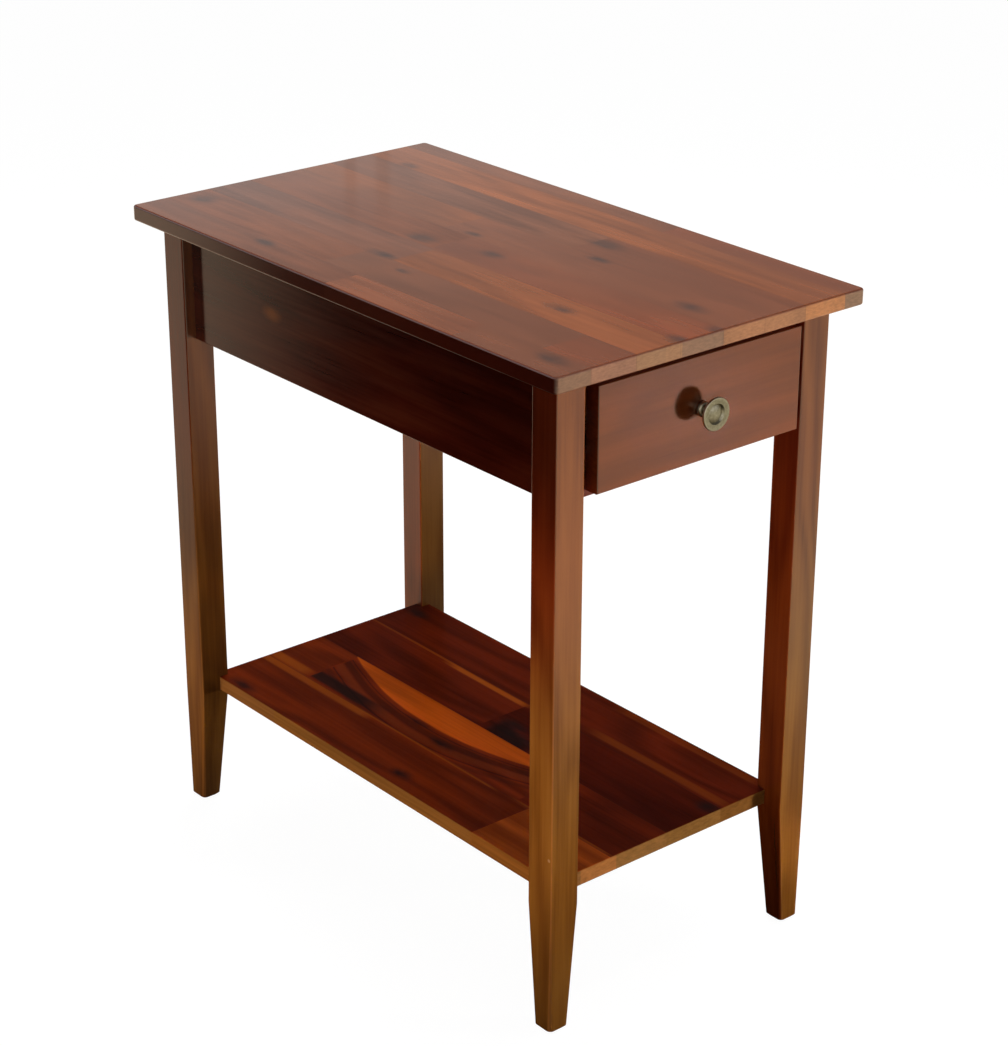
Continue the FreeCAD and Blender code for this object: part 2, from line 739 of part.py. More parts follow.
def make_corner_blocks():
    """Three-cornered glue blocks where the side aprons meet the back apron."""
    for side, sign in SIDES:
        body = new_body("corner_block_" + side, (mirrored(sign, "inner_x"), "inner_y", "block_high"))
        sketch = new_sketch(body, "z")
        draw_outline(sketch, (("0", "0"), ("0", "-block_side"), (mirrored(-sign, "block_side"), "0")))
        pad(body, sketch, "z", -1, "block_height")
        keep(body)


def slide_screw_spots(shift):
    """Places of a slide's screws along the table."""
    first = f"-slide_front_y + slide_screw_inset + {shift} * slide_screw_inset"
    return [f"{first} + {index} * slide_screw_pitch" for index in range(SCREWS_IN_SLIDE)]


def slide_body(label, sign, y="-slide_front_y"):
    """A body on the inner face of an apron, whose own x axis runs into the table."""
    return new_body(label, (mirrored(sign, "inner_x"), y, "box_middle"))


def towards(sign, text):
    """A distance from an apron into the table, in the slide's own frame."""
    return mirrored(-sign, text)


def cut_races(body, sign, length):
    """Half-round ball races along both flanges of a slide member."""
    sketch = new_sketch(body, "y")
    for level in ("ball_level", "-ball_level"):
        draw_circle(sketch, towards(sign, "race_reach"), level, "ball_radius_open")
    pocket(body, sketch, "y", 1, length)


def countersink(label, way, level, spots):
    """Coned holes through the web of a slide member."""
    cones = []
    for spot in spots:
        cone = document.addObject("Part::Cone", label)
        cone.setExpression("Radius1", bound("slide_screw_head_radius + screw_fit"))
        cone.setExpression("Radius2", bound("screw_hole_radius"))
        cone.setExpression("Height", bound("slide_sheet"))
        set_place(cone, (level, spot, "box_middle"), FreeCAD.Rotation(AXES["z"], AXES["x"] * way))
        cones.append(cone)
    holes = document.addObject("Part::MultiFuse", label + "s")
    holes.Shapes = cones
    return holes


def slide_screws(label, level, spots, way):
    """Flat-headed screws whose heads fill the coned holes of a slide member."""
    pieces = []
    for spot in spots:
        at = (level, spot, "box_middle")
        direction = AXES["x"] * way
        head = document.addObject("Part::Cone", label + "_head")
        head.setExpression("Radius1", bound("slide_screw_head_radius"))
        head.setExpression("Radius2", bound("screw_radius"))
        head.setExpression("Height", bound("slide_sheet"))
        set_place(head, at, FreeCAD.Rotation(AXES["z"], direction))
        shank = rod(label + "_shank", at, direction, "screw_radius", "slide_screw_length")
        screw = document.addObject("Part::MultiFuse", label + "_piece")
        screw.Shapes = [head, shank]
        pieces.append(screw)
    return pieces


def finish_member(label, body, holes):
    member = document.addObject("Part::Cut", label)
    member.Base = body
    member.Tool = holes
    member.Label = label
    keep(member)


def make_slides():
    outer_screws, inner_screws = [], []
    for side, sign in SIDES:
        # Outer member: a channel on the apron, open towards the drawer
        name = f"slide_{side}_outer"
        body = slide_body(name + "_channel", sign)
        sketch = new_sketch(body, "y")
        reach, web = towards(sign, "outer_flange_reach"), towards(sign, "slide_sheet")
        draw_outline(sketch, (
            ("0", "-slide_half"), (reach, "-slide_half"), (reach, "-outer_flange_face"),
            (web, "-outer_flange_face"), (web, "outer_flange_face"), (reach, "outer_flange_face"),
            (reach, "slide_half"), ("0", "slide_half")))
        pad(body, sketch, "y", 1, "slide_length")
        cut_races(body, sign, "slide_length")
        face = mirrored(sign, "inner_x - slide_sheet")
        spots = slide_screw_spots(0)
        finish_member(name, body, countersink(name + "_hole", sign, face, spots))
        outer_screws += slide_screws(name + "_screw", face, spots, sign)

        # Inner member: a narrower channel on the drawer, open towards the apron
        name = f"slide_{side}_inner"
        body = slide_body(name + "_channel", sign)
        sketch = new_sketch(body, "y")
        back, web, reach = (towards(sign, text) for text in ("slide_width", "inner_web", "inner_reach"))
        draw_outline(sketch, (
            (back, "-inner_flange_face"), (reach, "-inner_flange_face"), (reach, "-inner_flange_back"),
            (web, "-inner_flange_back"), (web, "inner_flange_back"), (reach, "inner_flange_back"),
            (reach, "inner_flange_face"), (back, "inner_flange_face")))
        pad(body, sketch, "y", 1, "slide_length")
        cut_races(body, sign, "slide_length")
        face = mirrored(sign, "box_x + slide_sheet")
        spots = slide_screw_spots(1)[:-1]
        finish_member(name, body, countersink(name + "_hole", -sign, face, spots))
        inner_screws += slide_screws(name + "_screw", face, spots, -sign)

        # Retainer: a thin channel that holds the balls apart
        body = slide_body(f"slide_{side}_retainer", sign, "-slide_front_y + retainer_start")
        sketch = new_sketch(body, "y")
        back, reach = towards(sign, "retainer_back"), towards(sign, "retainer_reach")
        web = towards(sign, "retainer_back + retainer_sheet")
        draw_outline(sketch, (
            (back, "-retainer_top"), (reach, "-retainer_top"), (reach, "-retainer_underside"),
            (web, "-retainer_underside"), (web, "retainer_underside"), (reach, "retainer_underside"),
            (reach, "retainer_top"), (back, "retainer_top")))
        pad(body, sketch, "y", 1, "retainer_length")
        hole = new_sketch(body, "z", "-retainer_top")
        draw_circle(hole, towards(sign, "race_reach"), "first_ball", "ball_radius_open")
        first = pocket(body, hole, "z", 1, "2 * retainer_top")
        row = body.newObject("PartDesign::LinearPattern", f"slide_{side}_ball_row")
        row.Originals = [first]
        row.Direction = (hole, ["V_Axis"])
        row.setExpression("Length", bound(f"{BALLS_IN_ROW - 1} * ball_pitch"))
        row.Occurrences = BALLS_IN_ROW
        body.Tip = row
        document.recompute()
        keep(body)
        balls = []
        for level in ("ball_level", "-ball_level"):
            for index in range(BALLS_IN_ROW):
                ball = document.addObject("Part::Sphere", f"slide_{side}_ball")
                ball.setExpression("Radius", bound("ball_radius"))
                along = f"-slide_front_y + retainer_start + first_ball + {index} * ball_pitch"
                set_place(ball, (mirrored(sign, "inner_x - race_reach"), along, f"box_middle + {level}"))
                balls.append(ball)
        keep(group(f"slide_{side}_balls", balls))
    keep(group("slide_outer_screws", outer_screws))
    keep(group("slide_inner_screws", inner_screws))


def tail_outline(outer, inner, index):
    """One dovetail, wide at the board's end and narrow at its neck, as places along Y and Z."""
    middle = f"box_low + {index + 0.5} * tail_pitch"
    return (
        (outer, f"{middle} - tail_width / 2"),
        (outer, f"{middle} + tail_width / 2"),
        (inner, f"{middle} + tail_neck / 2"),
        (inner, f"{middle} - tail_neck / 2"),
    )


def socket_outline(outer, inner, index):
    """The gap beside a dovetail, which takes a pin of the front or back board."""
    low, high = "box_low", "box_high"
    if index > 0:
        middle = f"box_low + {index - 0.5} * tail_pitch"
        low_outer, low_inner = f"{middle} + tail_width / 2", f"{middle} + tail_neck / 2"
    else:
        low_outer, low_inner = low, low
    if index < TAILS:
        middle = f"box_low + {index + 0.5} * tail_pitch"
        high_outer, high_inner = f"{middle} - tail_width / 2", f"{middle} - tail_neck / 2"
    else:
        high_outer, high_inner = high, high
    return ((outer, low_outer), (outer, high_outer), (inner, high_inner), (inner, low_inner))


# Ends of the drawer box: the outer and inner face of its front and back boards.
BOX_ENDS = (("-front_back_y", "-box_front_inner_y"), ("-box_back_y", "-box_back_inner_y"))


def make_box_side(side, sign):
    low = ("box_inner_x", "-front_back_y", "box_low")
    high = ("box_x", "-box_back_y", "box_high")
    if sign < 0:
        low = ("-box_x", "-front_back_y", "box_low")
        high = ("-box_inner_x", "-box_back_y", "box_high")
    board = Board("drawer_side_" + side, low, high)
    for outer, inner in BOX_ENDS:
        for index in range(TAILS + 1):
            board.cut("x", 1, low[0], socket_outline(outer, inner, index), "box_board")
    near, far = "-box_front_inner_y - groove_depth", "-box_back_inner_y + groove_depth"
    floor, ceiling = "box_floor", "box_floor + box_bottom_thickness + groove_fit"
    groove = ((near, floor), (far, floor), (far, ceiling), (near, ceiling))
    board.cut("x", sign, mirrored(sign, "box_inner_x"), groove, "groove_depth")
    centres = [(text, "box_middle") for text in slide_screw_spots(1)[:-1]]
    board.drill("x", -sign, mirrored(sign, "box_x"), centres, "screw_hole_radius",
                "slide_screw_length - slide_sheet + dowel_end_gap")
    keep(board.body)


def make_box_end(name, outer, inner, way):
    """The front or back board of the drawer box, with pins between the tails of the sides."""
    low_y, high_y = (outer, inner) if way > 0 else (inner, outer)
    board = Board(name, ("-box_x", low_y, "box_low"), ("box_x", high_y, "box_high"))
    for index in range(TAILS):
        board.cut("x", 1, "-box_x", tail_outline(outer, inner, index), "box_board")
        board.cut("x", -1, "box_x", tail_outline(outer, inner, index), "box_board")
    near, far = "-box_inner_x - groove_depth", "box_inner_x + groove_depth"
    floor, ceiling = "box_floor", "box_floor + box_bottom_thickness + groove_fit"
    groove = ((near, floor), (far, floor), (far, ceiling), (near, ceiling))
    board.cut("y", -way, inner, groove, "groove_depth")
    return board


def front_screw_places():
    places = []
    for sign_x in (-1, 1):
        for sign_z in (-1, 1):
            places.append((mirrored(sign_x, "front_screw_spread / 2"), "-box_front_inner_y",
                           f"box_middle + {sign_z} * front_screw_rise / 2"))
    return places


def make_drawer():
    front = Board("drawer_front", ("-front_x", "-front_face_y", "front_low"),
                  ("front_x", "-front_back_y", "front_high"))
    ease(front.body, "board_arris_round", lambda edge: lies_at(edge, "y", 0))
    screws = front_screw_places()
    front.drill("y", -1, "-front_back_y", [(at[0], at[2]) for at in screws], "screw_hole_radius",
                "screw_bite + dowel_end_gap")
    front.drill("y", -1, "-front_back_y", [("0", "knob_level")], "knob_hole_radius",
                "drawer_front_thickness")
    keep(front.body)

    board = make_box_end("drawer_box_front", *BOX_ENDS[0], 1)
    board.drill("y", -1, "-box_front_inner_y", [(at[0], at[2]) for at in screws], "screw_hole_radius",
                "box_board")
    board.drill("y", -1, "-box_front_inner_y", [("0", "knob_level")], "knob_hole_radius", "box_board")
    keep(board.body)
    board = make_box_end("drawer_box_back", *BOX_ENDS[1], -1)
    keep(board.body)
    for side, sign in SIDES:
        make_box_side(side, sign)
    edge = "groove_depth - groove_fit"
    ceiling = "box_floor + box_bottom_thickness"
    low = (f"-box_inner_x - ({edge})", f"-box_front_inner_y - ({edge})", "box_floor")
    high = (f"box_inner_x + ({edge})", f"-box_back_inner_y + ({edge})", ceiling)
    bottom = Board("drawer_bottom", low, high)
    keep(bottom.body)
    keep(pan_screws("drawer_front_screws", screws, AXES["y"] * -1, "screw_head_radius", "screw_radius",
                    "front_screw_length"))
    keep(pan_screws("knob_screw", [("0", "-box_front_inner_y", "knob_level")], AXES["y"] * -1,
                    "knob_screw_head_radius", "knob_screw_radius", "knob_screw_length"))


def draw_turning(sketch, points, bends):
    """A closed outline of named places, whose sides are straight or bend by a named radius."""
    count = len(points)
    spots = []
    for point in points:
        across, up = (0.0 if name == "0" else value(name) for name in point)
        spots.append(FreeCAD.Vector(across, up, 0))
    ends = []
    for index in range(count):
        start, end = spots[index], spots[(index + 1) % count]
        if index not in bends:
            sketch.addGeometry(Part.LineSegment(start, end), False)
            ends.append((1, 2))
            continue
        name, side = bends[index]
        radius, half = value(name), (end - start).Length / 2
        across = FreeCAD.Vector(end.y - start.y, start.x - end.x, 0).normalize() * side
        middle = (start + end) / 2 + across * (radius - (radius ** 2 - half ** 2) ** 0.5)
        # A bend to the right of its way runs counter-clockwise, as the sketch stores it.
        points_of_arc = (start, middle, end) if side > 0 else (end, middle, start)
        sketch.addGeometry(Part.Arc(*points_of_arc), False)
        ends.append((1, 2) if side > 0 else (2, 1))
    for index in range(count):
        following = (index + 1) % count
        joint = Sketcher.Constraint("Coincident", index, ends[index][1], following, ends[following][0])
        sketch.addConstraint(joint)
    for index, (across, up) in enumerate(points):
        at = spots[index]
        for kind, text, level in (("DistanceX", across, at.x), ("DistanceY", up, at.y)):
            tie = sketch.addConstraint(Sketcher.Constraint(kind, -1, 1, index, ends[index][0], level))
            sketch.setExpression(f"Constraints[{tie}]", bound(text))
    for index, (name, side) in bends.items():
        size = sketch.addConstraint(Sketcher.Constraint("Radius", index, value(name)))
        sketch.setExpression(f"Constraints[{size}]", bound(name))


def make_knob():
    """A turned knob: a bulbous foot, a waisted neck and a ringed face with a raised button."""
    body = new_body("drawer_knob", ("0", "-front_face_y", "knob_level"), FreeCAD.Rotation(AXES["x"], 90))
    sketch = new_sketch(body, "y")
    outline = (
        ("0", "0"), ("knob_foot_radius", "0"), ("knob_neck_radius", "knob_neck_height"),
        ("knob_cove_radius", "knob_rim_back"), ("knob_radius", "knob_rim_back"),
        ("knob_radius", "knob_edge_level"),
        ("knob_edge_radius", "knob_projection"), ("knob_groove_edge", "knob_face_level"),
        ("knob_groove_radius", "knob_groove_level"), ("0", "knob_button_level"))
    bends = {
        1: ("knob_bulb_round", 1),
        2: ("knob_cove_round", -1),
        5: ("knob_edge_round", 1),
        8: ("knob_button_round", 1),
    }
    draw_turning(sketch, outline, bends)
    turned = body.newObject("PartDesign::Revolution", "knob_turning")
    turned.Profile = sketch
    turned.ReferenceAxis = (sketch, ["V_Axis"])
    turned.Angle = 360.0
    document.recompute([body, sketch, turned])
    drill(body, "z", 1, "0", [("0", "0")], "knob_hole_radius", "knob_screw_bite + dowel_end_gap")
    keep(body)


def check_and_write():
    document.recompute()
    faults = [item.Name for item in document.Objects if "Invalid" in item.State or "Error" in item.State]
    for item in NODES:
        if item.Shape.isNull() or not item.Shape.isValid() or not item.Shape.Solids:
            faults.append(item.Label)
    if faults:
        raise RuntimeError("these did not build: " + ", ".join(faults))
    os.makedirs("parts", exist_ok=True)
    for item in NODES:
        item.Shape.exportStep("parts/" + item.Label + ".step")
    print(len(NODES), "sub-parts,", sum(len(item.Shape.Solids) for item in NODES), "solids")


make_top()
make_leg("leg_front_left", -1, -1, 0)
make_leg("leg_front_right", 1, -1, 1)
make_leg("leg_back_right", 1, 1, 2)
make_leg("leg_back_left", -1, 1, 3)
for side, sign in SIDES:
    make_side_apron(side, sign)
make_back_apron()
make_rails()
make_dowels()
make_cleats()
make_corner_blocks()
make_shelf()
make_slides()
make_drawer()
make_knob()
check_and_write()
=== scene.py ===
import math

import bmesh
import bpy
from mathutils import Matrix, Vector


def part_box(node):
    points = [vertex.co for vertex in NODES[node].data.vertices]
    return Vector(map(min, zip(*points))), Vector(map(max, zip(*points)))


# Looks of the chairside table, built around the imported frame. Lengths are in metres.
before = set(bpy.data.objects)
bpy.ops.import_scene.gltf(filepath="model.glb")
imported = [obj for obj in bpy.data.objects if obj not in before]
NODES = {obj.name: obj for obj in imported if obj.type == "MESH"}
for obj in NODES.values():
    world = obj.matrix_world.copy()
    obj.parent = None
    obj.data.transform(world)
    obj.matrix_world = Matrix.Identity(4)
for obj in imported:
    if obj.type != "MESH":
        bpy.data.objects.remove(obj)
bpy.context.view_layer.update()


# The range that most of a noise lies in
NOISE_LOW, NOISE_HIGH = 0.3, 0.7


class Graph:
    """A material under construction, with short calls for the nodes it uses."""

    def __init__(self, tree):
        self.tree = tree
        self.tree.nodes.clear()

    def node(self, kind, *values, **settings):
        """A new node with these settings, its first sockets fed with the values."""
        made = self.tree.nodes.new(kind)
        for name, setting in settings.items():
            setattr(made, name, setting)
        for socket, value in zip(made.inputs, values):
            self.feed(socket, value)
        return made

    def feed(self, socket, value):
        """Links an output to a socket, or sets the socket to a number, a point or a colour."""
        if isinstance(value, bpy.types.NodeSocket):
            self.tree.links.new(value, socket)
        elif socket.type == "RGBA":
            socket.default_value = (*value, 1.0)
        else:
            socket.default_value = value

    def feed_named(self, made, values):
        for name, value in values.items():
            self.feed(made.inputs[name.replace("_", " ")], value)

    def math(self, operation, *values, clamp=False):
        return self.node("ShaderNodeMath", *values, operation=operation, use_clamp=clamp).outputs[0]

    def chain(self, operation, values):
        total = values[0]
        for value in values[1:]:
            total = self.math(operation, total, value)
        return total

    def add(self, *values):
        return self.chain("ADD", values)

    def times(self, *values):
        return self.chain("MULTIPLY", values)

    def most(self, *values):
        return self.chain("MAXIMUM", values)

    def rest(self, value):
        """What a number lacks to 1."""
        return self.math("SUBTRACT", 1.0, value)

    def unsigned(self, value):
        return self.math("ABSOLUTE", value)

    def hypotenuse(self, first, second):
        return self.math("SQRT", self.add(self.times(first, first), self.times(second, second)))

    def vector(self, x, y, z):
        return self.node("ShaderNodeCombineXYZ", x, y, z).outputs[0]

    def split(self, vector):
        return tuple(self.node("ShaderNodeSeparateXYZ", vector).outputs)

    def distance(self, place, point):
        return self.node("ShaderNodeVectorMath", place, point, operation="DISTANCE").outputs["Value"]

    def linear(self, value, low, high, start=0.0, end=1.0, kind="LINEAR"):
        """Goes from start to end as the value goes from low to high, and stays there beyond."""
        made = self.node("ShaderNodeMapRange", value, low, high, start, end, interpolation_type=kind)
        return made.outputs[0]

    def smooth(self, value, low, high, start=0.0, end=1.0):
        """The same with a soft start and end."""
        return self.linear(value, low, high, start, end, "SMOOTHSTEP")

    def spread(self, noise, start, end):
        """A noise stretched to go from start to end."""
        return self.linear(noise, NOISE_LOW, NOISE_HIGH, start, end)

    def fade(self, value, low, high, strength=1.0):
        """Full strength up to low and nothing beyond high."""
        return self.smooth(value, low, high, strength, 0.0)

    def between(self, value, start, full, still, gone):
        """Rises to 1 from start to full and falls from still to gone."""
        return self.times(self.smooth(value, start, full), self.fade(value, still, gone))

    def band(self, value, inner, outer, strength=1.0):
        """Full strength where a value is within inner of 0, on either side, and nothing beyond outer."""
        return self.fade(self.unsigned(value), inner, outer, strength)

    def facing(self, part, low=0.55, high=0.8):
        """1 where this part of the normal is large, forwards or backwards."""
        return self.smooth(self.unsigned(part), low, high)

    def noise(self, vector, scale=1.0, detail=2.0, roughness=0.5):
        made = self.node("ShaderNodeTexNoise")
        self.feed_named(made, {"Vector": vector, "Scale": scale, "Detail": detail, "Roughness": roughness})
        return made.outputs["Fac"]

    def streaked(self, place, fineness, detail=2.0, roughness=0.5):
        """Noise whose cycles per metre differ between the axes."""
        parts = [self.times(part, cycles) for part, cycles in zip(place, fineness)]
        return self.noise(self.vector(*parts), detail=detail, roughness=roughness)

    def ramp(self, value, stops, mode="LINEAR"):
        """Colour and alpha by a row of places from 0 to 1 and their colours."""
        made = self.node("ShaderNodeValToRGB", value)
        ramp = made.color_ramp
        ramp.interpolation = mode
        while len(ramp.elements) < len(stops):
            ramp.elements.new(0.5)
        for element, (place, colour) in zip(ramp.elements, stops):
            element.position = place
            element.color = tuple(colour) + (1.0,) * (4 - len(colour))
        return made.outputs[0], made.outputs[1]

    def mix(self, share, first, second, blend="MIX"):
        made = self.node("ShaderNodeMix", data_type="RGBA", blend_type=blend)
        for index, value in ((0, share), (6, first), (7, second)):
            self.feed(made.inputs[index], value)
        return made.outputs[2]

    def mix_value(self, share, first, second):
        made = self.node("ShaderNodeMix", data_type="FLOAT")
        for index, value in ((0, share), (2, first), (3, second)):
            self.feed(made.inputs[index], value)
        return made.outputs[0]

    def scale_colour(self, colour, amount):
        """A colour made darker or lighter by a number."""
        made = self.node("ShaderNodeVectorMath", colour, operation="SCALE")
        self.feed(made.inputs["Scale"], amount)
        return made.outputs[0]

    def bump(self, height, strength, distance):
        made = self.node("ShaderNodeBump")
        self.feed_named(made, {"Strength": strength, "Distance": distance, "Height": height})
        return made.outputs[0]

    def place(self):
        """Where a point is in the frame, and which way its surface faces."""
        made = self.node("ShaderNodeTexCoord")
        return made.outputs["Object"], made.outputs["Normal"]

    def shader(self, kind, *values):
        return self.node("ShaderNode" + kind, *values).outputs[0]

    def output(self, shader, kind="Material"):
        self.node("ShaderNodeOutput" + kind, shader)

    def finish(self, colour, roughness, normal, **numbers):
        """The surface itself. Other numbers go to the shader's sockets of those names."""
        surface = self.node("ShaderNodeBsdfPrincipled")
        self.feed_named(surface, {"Base Color": colour, "Roughness": roughness, "Normal": normal})
        self.feed_named(surface, numbers)
        self.output(surface.outputs[0])


def new_material(name):
    material = bpy.data.materials.new(name)
    material.use_nodes = True
    return material, Graph(material.node_tree)


def dress(material, *names):
    """Gives CAD nodes a material."""
    for name in names:
        slots = NODES[name].data.materials
        if len(slots) == 0:
            slots.append(material)
        for index in range(len(slots)):
            slots[index] = material


# Layers of a board's grain: cycles per metre along and across it, detail and roughness
STREAKS = (9.0, 330.0, 5.0, 0.55)
FLOW = (2.6, 15.0, 2.0, 0.45)
MOTTLE = (6.5, 17.0, 3.0, 0.55)
PORES = (70.0, 1250.0, 2.0, 0.5)
BROAD = (1.7, 5.5, 1.0, 0.5)
RINGS_PER_FLOW = 34.0
RING_WAVE = 55.0
SEED_SHIFT = 23.7
WOOD_RELIEF = 0.0006


class Grain:
    """Streaks, figure, mottling and pores of one board, as numbers from 0 to 1."""

    def __init__(self, g, along, across, depth, seed=0.0, wave=RING_WAVE, streaks=STREAKS):
        self.g = g
        self.place = (g.add(along, g.times(seed, SEED_SHIFT)), across, depth)
        waves = g.add(g.times(self.layer(FLOW), RINGS_PER_FLOW), g.times(across, wave), g.times(depth, wave))
        self.streaks = self.layer(streaks)
        self.figure = g.linear(g.math("SINE", waves), -1.0, 1.0)
        self.mottle = self.layer(MOTTLE)
        self.pores = g.smooth(self.layer(PORES), 0.60, 0.74)
        self.broad = self.layer(BROAD)

    def layer(self, fineness):
        along, across, detail, roughness = fineness
        return self.g.streaked(self.place, (along, across, across), detail, roughness)

    def tone(self, streaks=0.42, figure=0.26, mottle=0.32):
        """One number that is low in dark grain and high in light grain."""
        layers = ((self.streaks, streaks), (self.figure, figure), (self.mottle, mottle))
        return self.g.add(*(self.g.times(layer, weight) for layer, weight in layers))

    def tint(self, colour):
        """A plain colour shaded by the grain."""
        return self.g.scale_colour(colour, self.g.spread(self.tone(), 0.7, 1.28))


def arris(g, normal):
    """1 on rounded edges and 0 on faces that lie square to the frame."""
    return g.fade(g.most(*(g.unsigned(part) for part in g.split(normal))), 0.9, 0.985)


def underside(g, facing_z):
    return g.fade(facing_z, -0.9, -0.6)


def knots(g, across, along, spots):
    """Dark where small knots sit. A spot is its place across and along, half width and half length."""
    marks = []
    for at_across, at_along, half_across, half_along in spots:
        first = g.times(g.add(across, -at_across), 1.0 / half_across)
        second = g.times(g.add(along, -at_along), 1.0 / half_along)
        marks.append(g.fade(g.hypotenuse(first, second), 0.15, 1.20))
    return g.most(*marks)


def share_of(g, place, length):
    """A place along a length that has the frame's origin in its middle, from 0 to 1."""
    return g.add(g.times(place, 1.0 / length), 0.5)


def strips(g, across, along, length, layout):
    """Colour and grain seed of edge-glued strips.

    Each strip is its far limit across and its blocks. Each block is its far limit along, its colour and its
    seed."""
    place = share_of(g, along, length)
    colour, seed, limit = None, None, None
    for far, blocks in layout:
        stops, start = [], 0.0
        for block_far, tone, block_seed in blocks:
            stops.append((start, tuple(tone) + (block_seed,)))
            start = block_far / length + 0.5
        if len(stops) == 1:
            stops.append((0.999, stops[0][1]))
        tone, mark = g.ramp(place, stops, "CONSTANT")
        if limit is None:
            colour, seed = tone, mark
        else:
            beyond = g.math("GREATER_THAN", across, limit)
            colour = g.mix(beyond, colour, tone)
            seed = g.mix_value(beyond, seed, mark)
        limit = far
    return colour, seed


def blocks_of(g, place, length, layout):
    """Plain colours, each up to its far limit along one axis."""
    stops, start = [], 0.0
    for far, tone in layout:
        stops.append((start, tone))
        start = far / length + 0.5
    return g.ramp(share_of(g, place, length), stops, "CONSTANT")[0]


SEAM_HALF = 0.00015


def glue_lines(g, across, first, width, fade):
    """1 on the glue lines between strips of one width, gone at a distance of fade from them."""
    line = g.math("FRACT", g.times(g.add(across, -first), 1.0 / width))
    gap = g.times(g.math("MINIMUM", line, g.rest(line)), width)
    return g.fade(gap, SEAM_HALF, fade)


# The table top's strips, in stained tones as linear colours
ORANGE = (0.290, 0.082, 0.022)
RED_BROWN = (0.228, 0.055, 0.018)
BROWN = (0.205, 0.060, 0.022)
GREY_BROWN = (0.190, 0.066, 0.030)
PINK_BROWN = (0.250, 0.074, 0.028)
DUSK = (0.165, 0.062, 0.034)
TOP_LENGTH = 0.61
TOP_WIDTH = 0.352
TOP_STRIP_WIDTH = 0.0483
TOP_FIRST_LINE = -0.1385
TOP_SEAM_FADE = 0.0007
TOP_STRIPS = (
    (-0.1385, ((-0.176, GREY_BROWN, 0.11), (0.0, PINK_BROWN, 0.23), (0.31, BROWN, 0.31))),
    (-0.0902, ((-0.247, RED_BROWN, 0.42), (0.05, GREY_BROWN, 0.55), (0.31, BROWN, 0.61))),
    (-0.0419, ((0.012, ORANGE, 0.74), (0.31, DUSK, 0.86))),
    (0.0064, ((0.020, RED_BROWN, 0.93), (0.31, BROWN, 0.05))),
    (0.0547, ((0.060, PINK_BROWN, 0.17), (0.31, ORANGE, 0.29))),
    (0.1030, ((-0.060, BROWN, 0.38), (0.31, GREY_BROWN, 0.47))),
    (0.1513, ((0.31, ORANGE, 0.66),)),
    (0.1770, ((-0.078, RED_BROWN, 0.79), (0.31, GREY_BROWN, 0.91))),
)
TOP_KNOTS = (
    (-0.1490, -0.270, 0.010, 0.022), (-0.1477, 0.128, 0.008, 0.016), (-0.1130, 0.278, 0.014, 0.020),
    (-0.1030, -0.017, 0.005, 0.012), (-0.0635, -0.180, 0.009, 0.024), (-0.0860, 0.033, 0.009, 0.024),
    (-0.0300, 0.049, 0.012, 0.022), (-0.0114, -0.030, 0.010, 0.018), (0.0240, -0.247, 0.011, 0.024),
    (0.0510, -0.101, 0.007, 0.018), (0.0136, 0.028, 0.006, 0.014), (0.0865, -0.072, 0.011, 0.026),
    (0.1100, 0.245, 0.008, 0.016), (-0.0400, -0.300, 0.010, 0.016), (0.0010, -0.302, 0.008, 0.014),
)
# End-grain blocks of the top's short edges
TOP_ENDS = (
    (-0.1390, (0.250, 0.125, 0.070)), (-0.0910, (0.340, 0.150, 0.085)), (-0.0580, (0.300, 0.145, 0.070)),
    (-0.0410, (0.330, 0.155, 0.072)), (0.0060, (0.245, 0.125, 0.072)), (0.1020, (0.360, 0.150, 0.065)),
    (0.1510, (0.460, 0.180, 0.065)), (0.1770, (0.260, 0.140, 0.080)),
)
TOP_STREAKS = (9.0, 170.0, 5.0, 0.55)
TOP_END_GRAIN = (210.0, 40.0, 620.0)
TOP_KNOT_EDGES = (120.0, 60.0, 0.0)
TOP_HAZE = (0.172, 0.063, 0.032)
TOP_FLAME = (0.310, 0.088, 0.026)
TOP_DRAWER_END = (0.260, 0.066, 0.023)
TOP_BACK_SHEEN = (0.190, 0.090, 0.060)
TOP_KNOT = (0.044, 0.030, 0.026)
TOP_SHADED_LONG_EDGE = (0.240, 0.018, 0.007)
TOP_GLUE = (0.07, 0.020, 0.010)
TOP_UPPER_ARRIS = (0.120, 0.020, 0.009)
TOP_LOWER_ARRIS = (0.12, 0.04, 0.018)
TOP_UNDER = (0.19, 0.075, 0.036)
TOP_MIDDLE_LEVEL = 0.6225


def paint_top_face(g, place, grain, tone, level):
    """The strips with their grain, clouds, a drift from end to end that is partly painted reflection, and
    knots.
    """
    x, y, z = place
    streaks = g.linear(grain.streaks, 0.35, 0.65, -0.09, 0.09)
    shade = g.times(g.add(g.spread(level, 0.76, 1.22), streaks), 1.05)
    colour = g.scale_colour(tone, shade)
    colour = g.mix(g.smooth(grain.broad, 0.36, 0.64, 0.0, 0.60), colour, TOP_HAZE)
    colour = g.mix(g.smooth(grain.mottle, 0.42, 0.80, 0.0, 0.34), colour, TOP_FLAME)
    # The drawer end is redder, and the back end is painted greyer, a painted reflection of sheen.
    colour = g.mix(g.fade(y, -0.32, 0.10, 0.26), colour, TOP_DRAWER_END)
    colour = g.mix(g.smooth(y, 0.0, 0.30, 0.0, 0.18), colour, TOP_BACK_SHEEN)
    rough_edge = g.spread(g.streaked(place, TOP_KNOT_EDGES, 3.0), 0.45, 1.0)
    return g.mix(g.times(knots(g, x, y, TOP_KNOTS), rough_edge, 0.84), colour, TOP_KNOT)


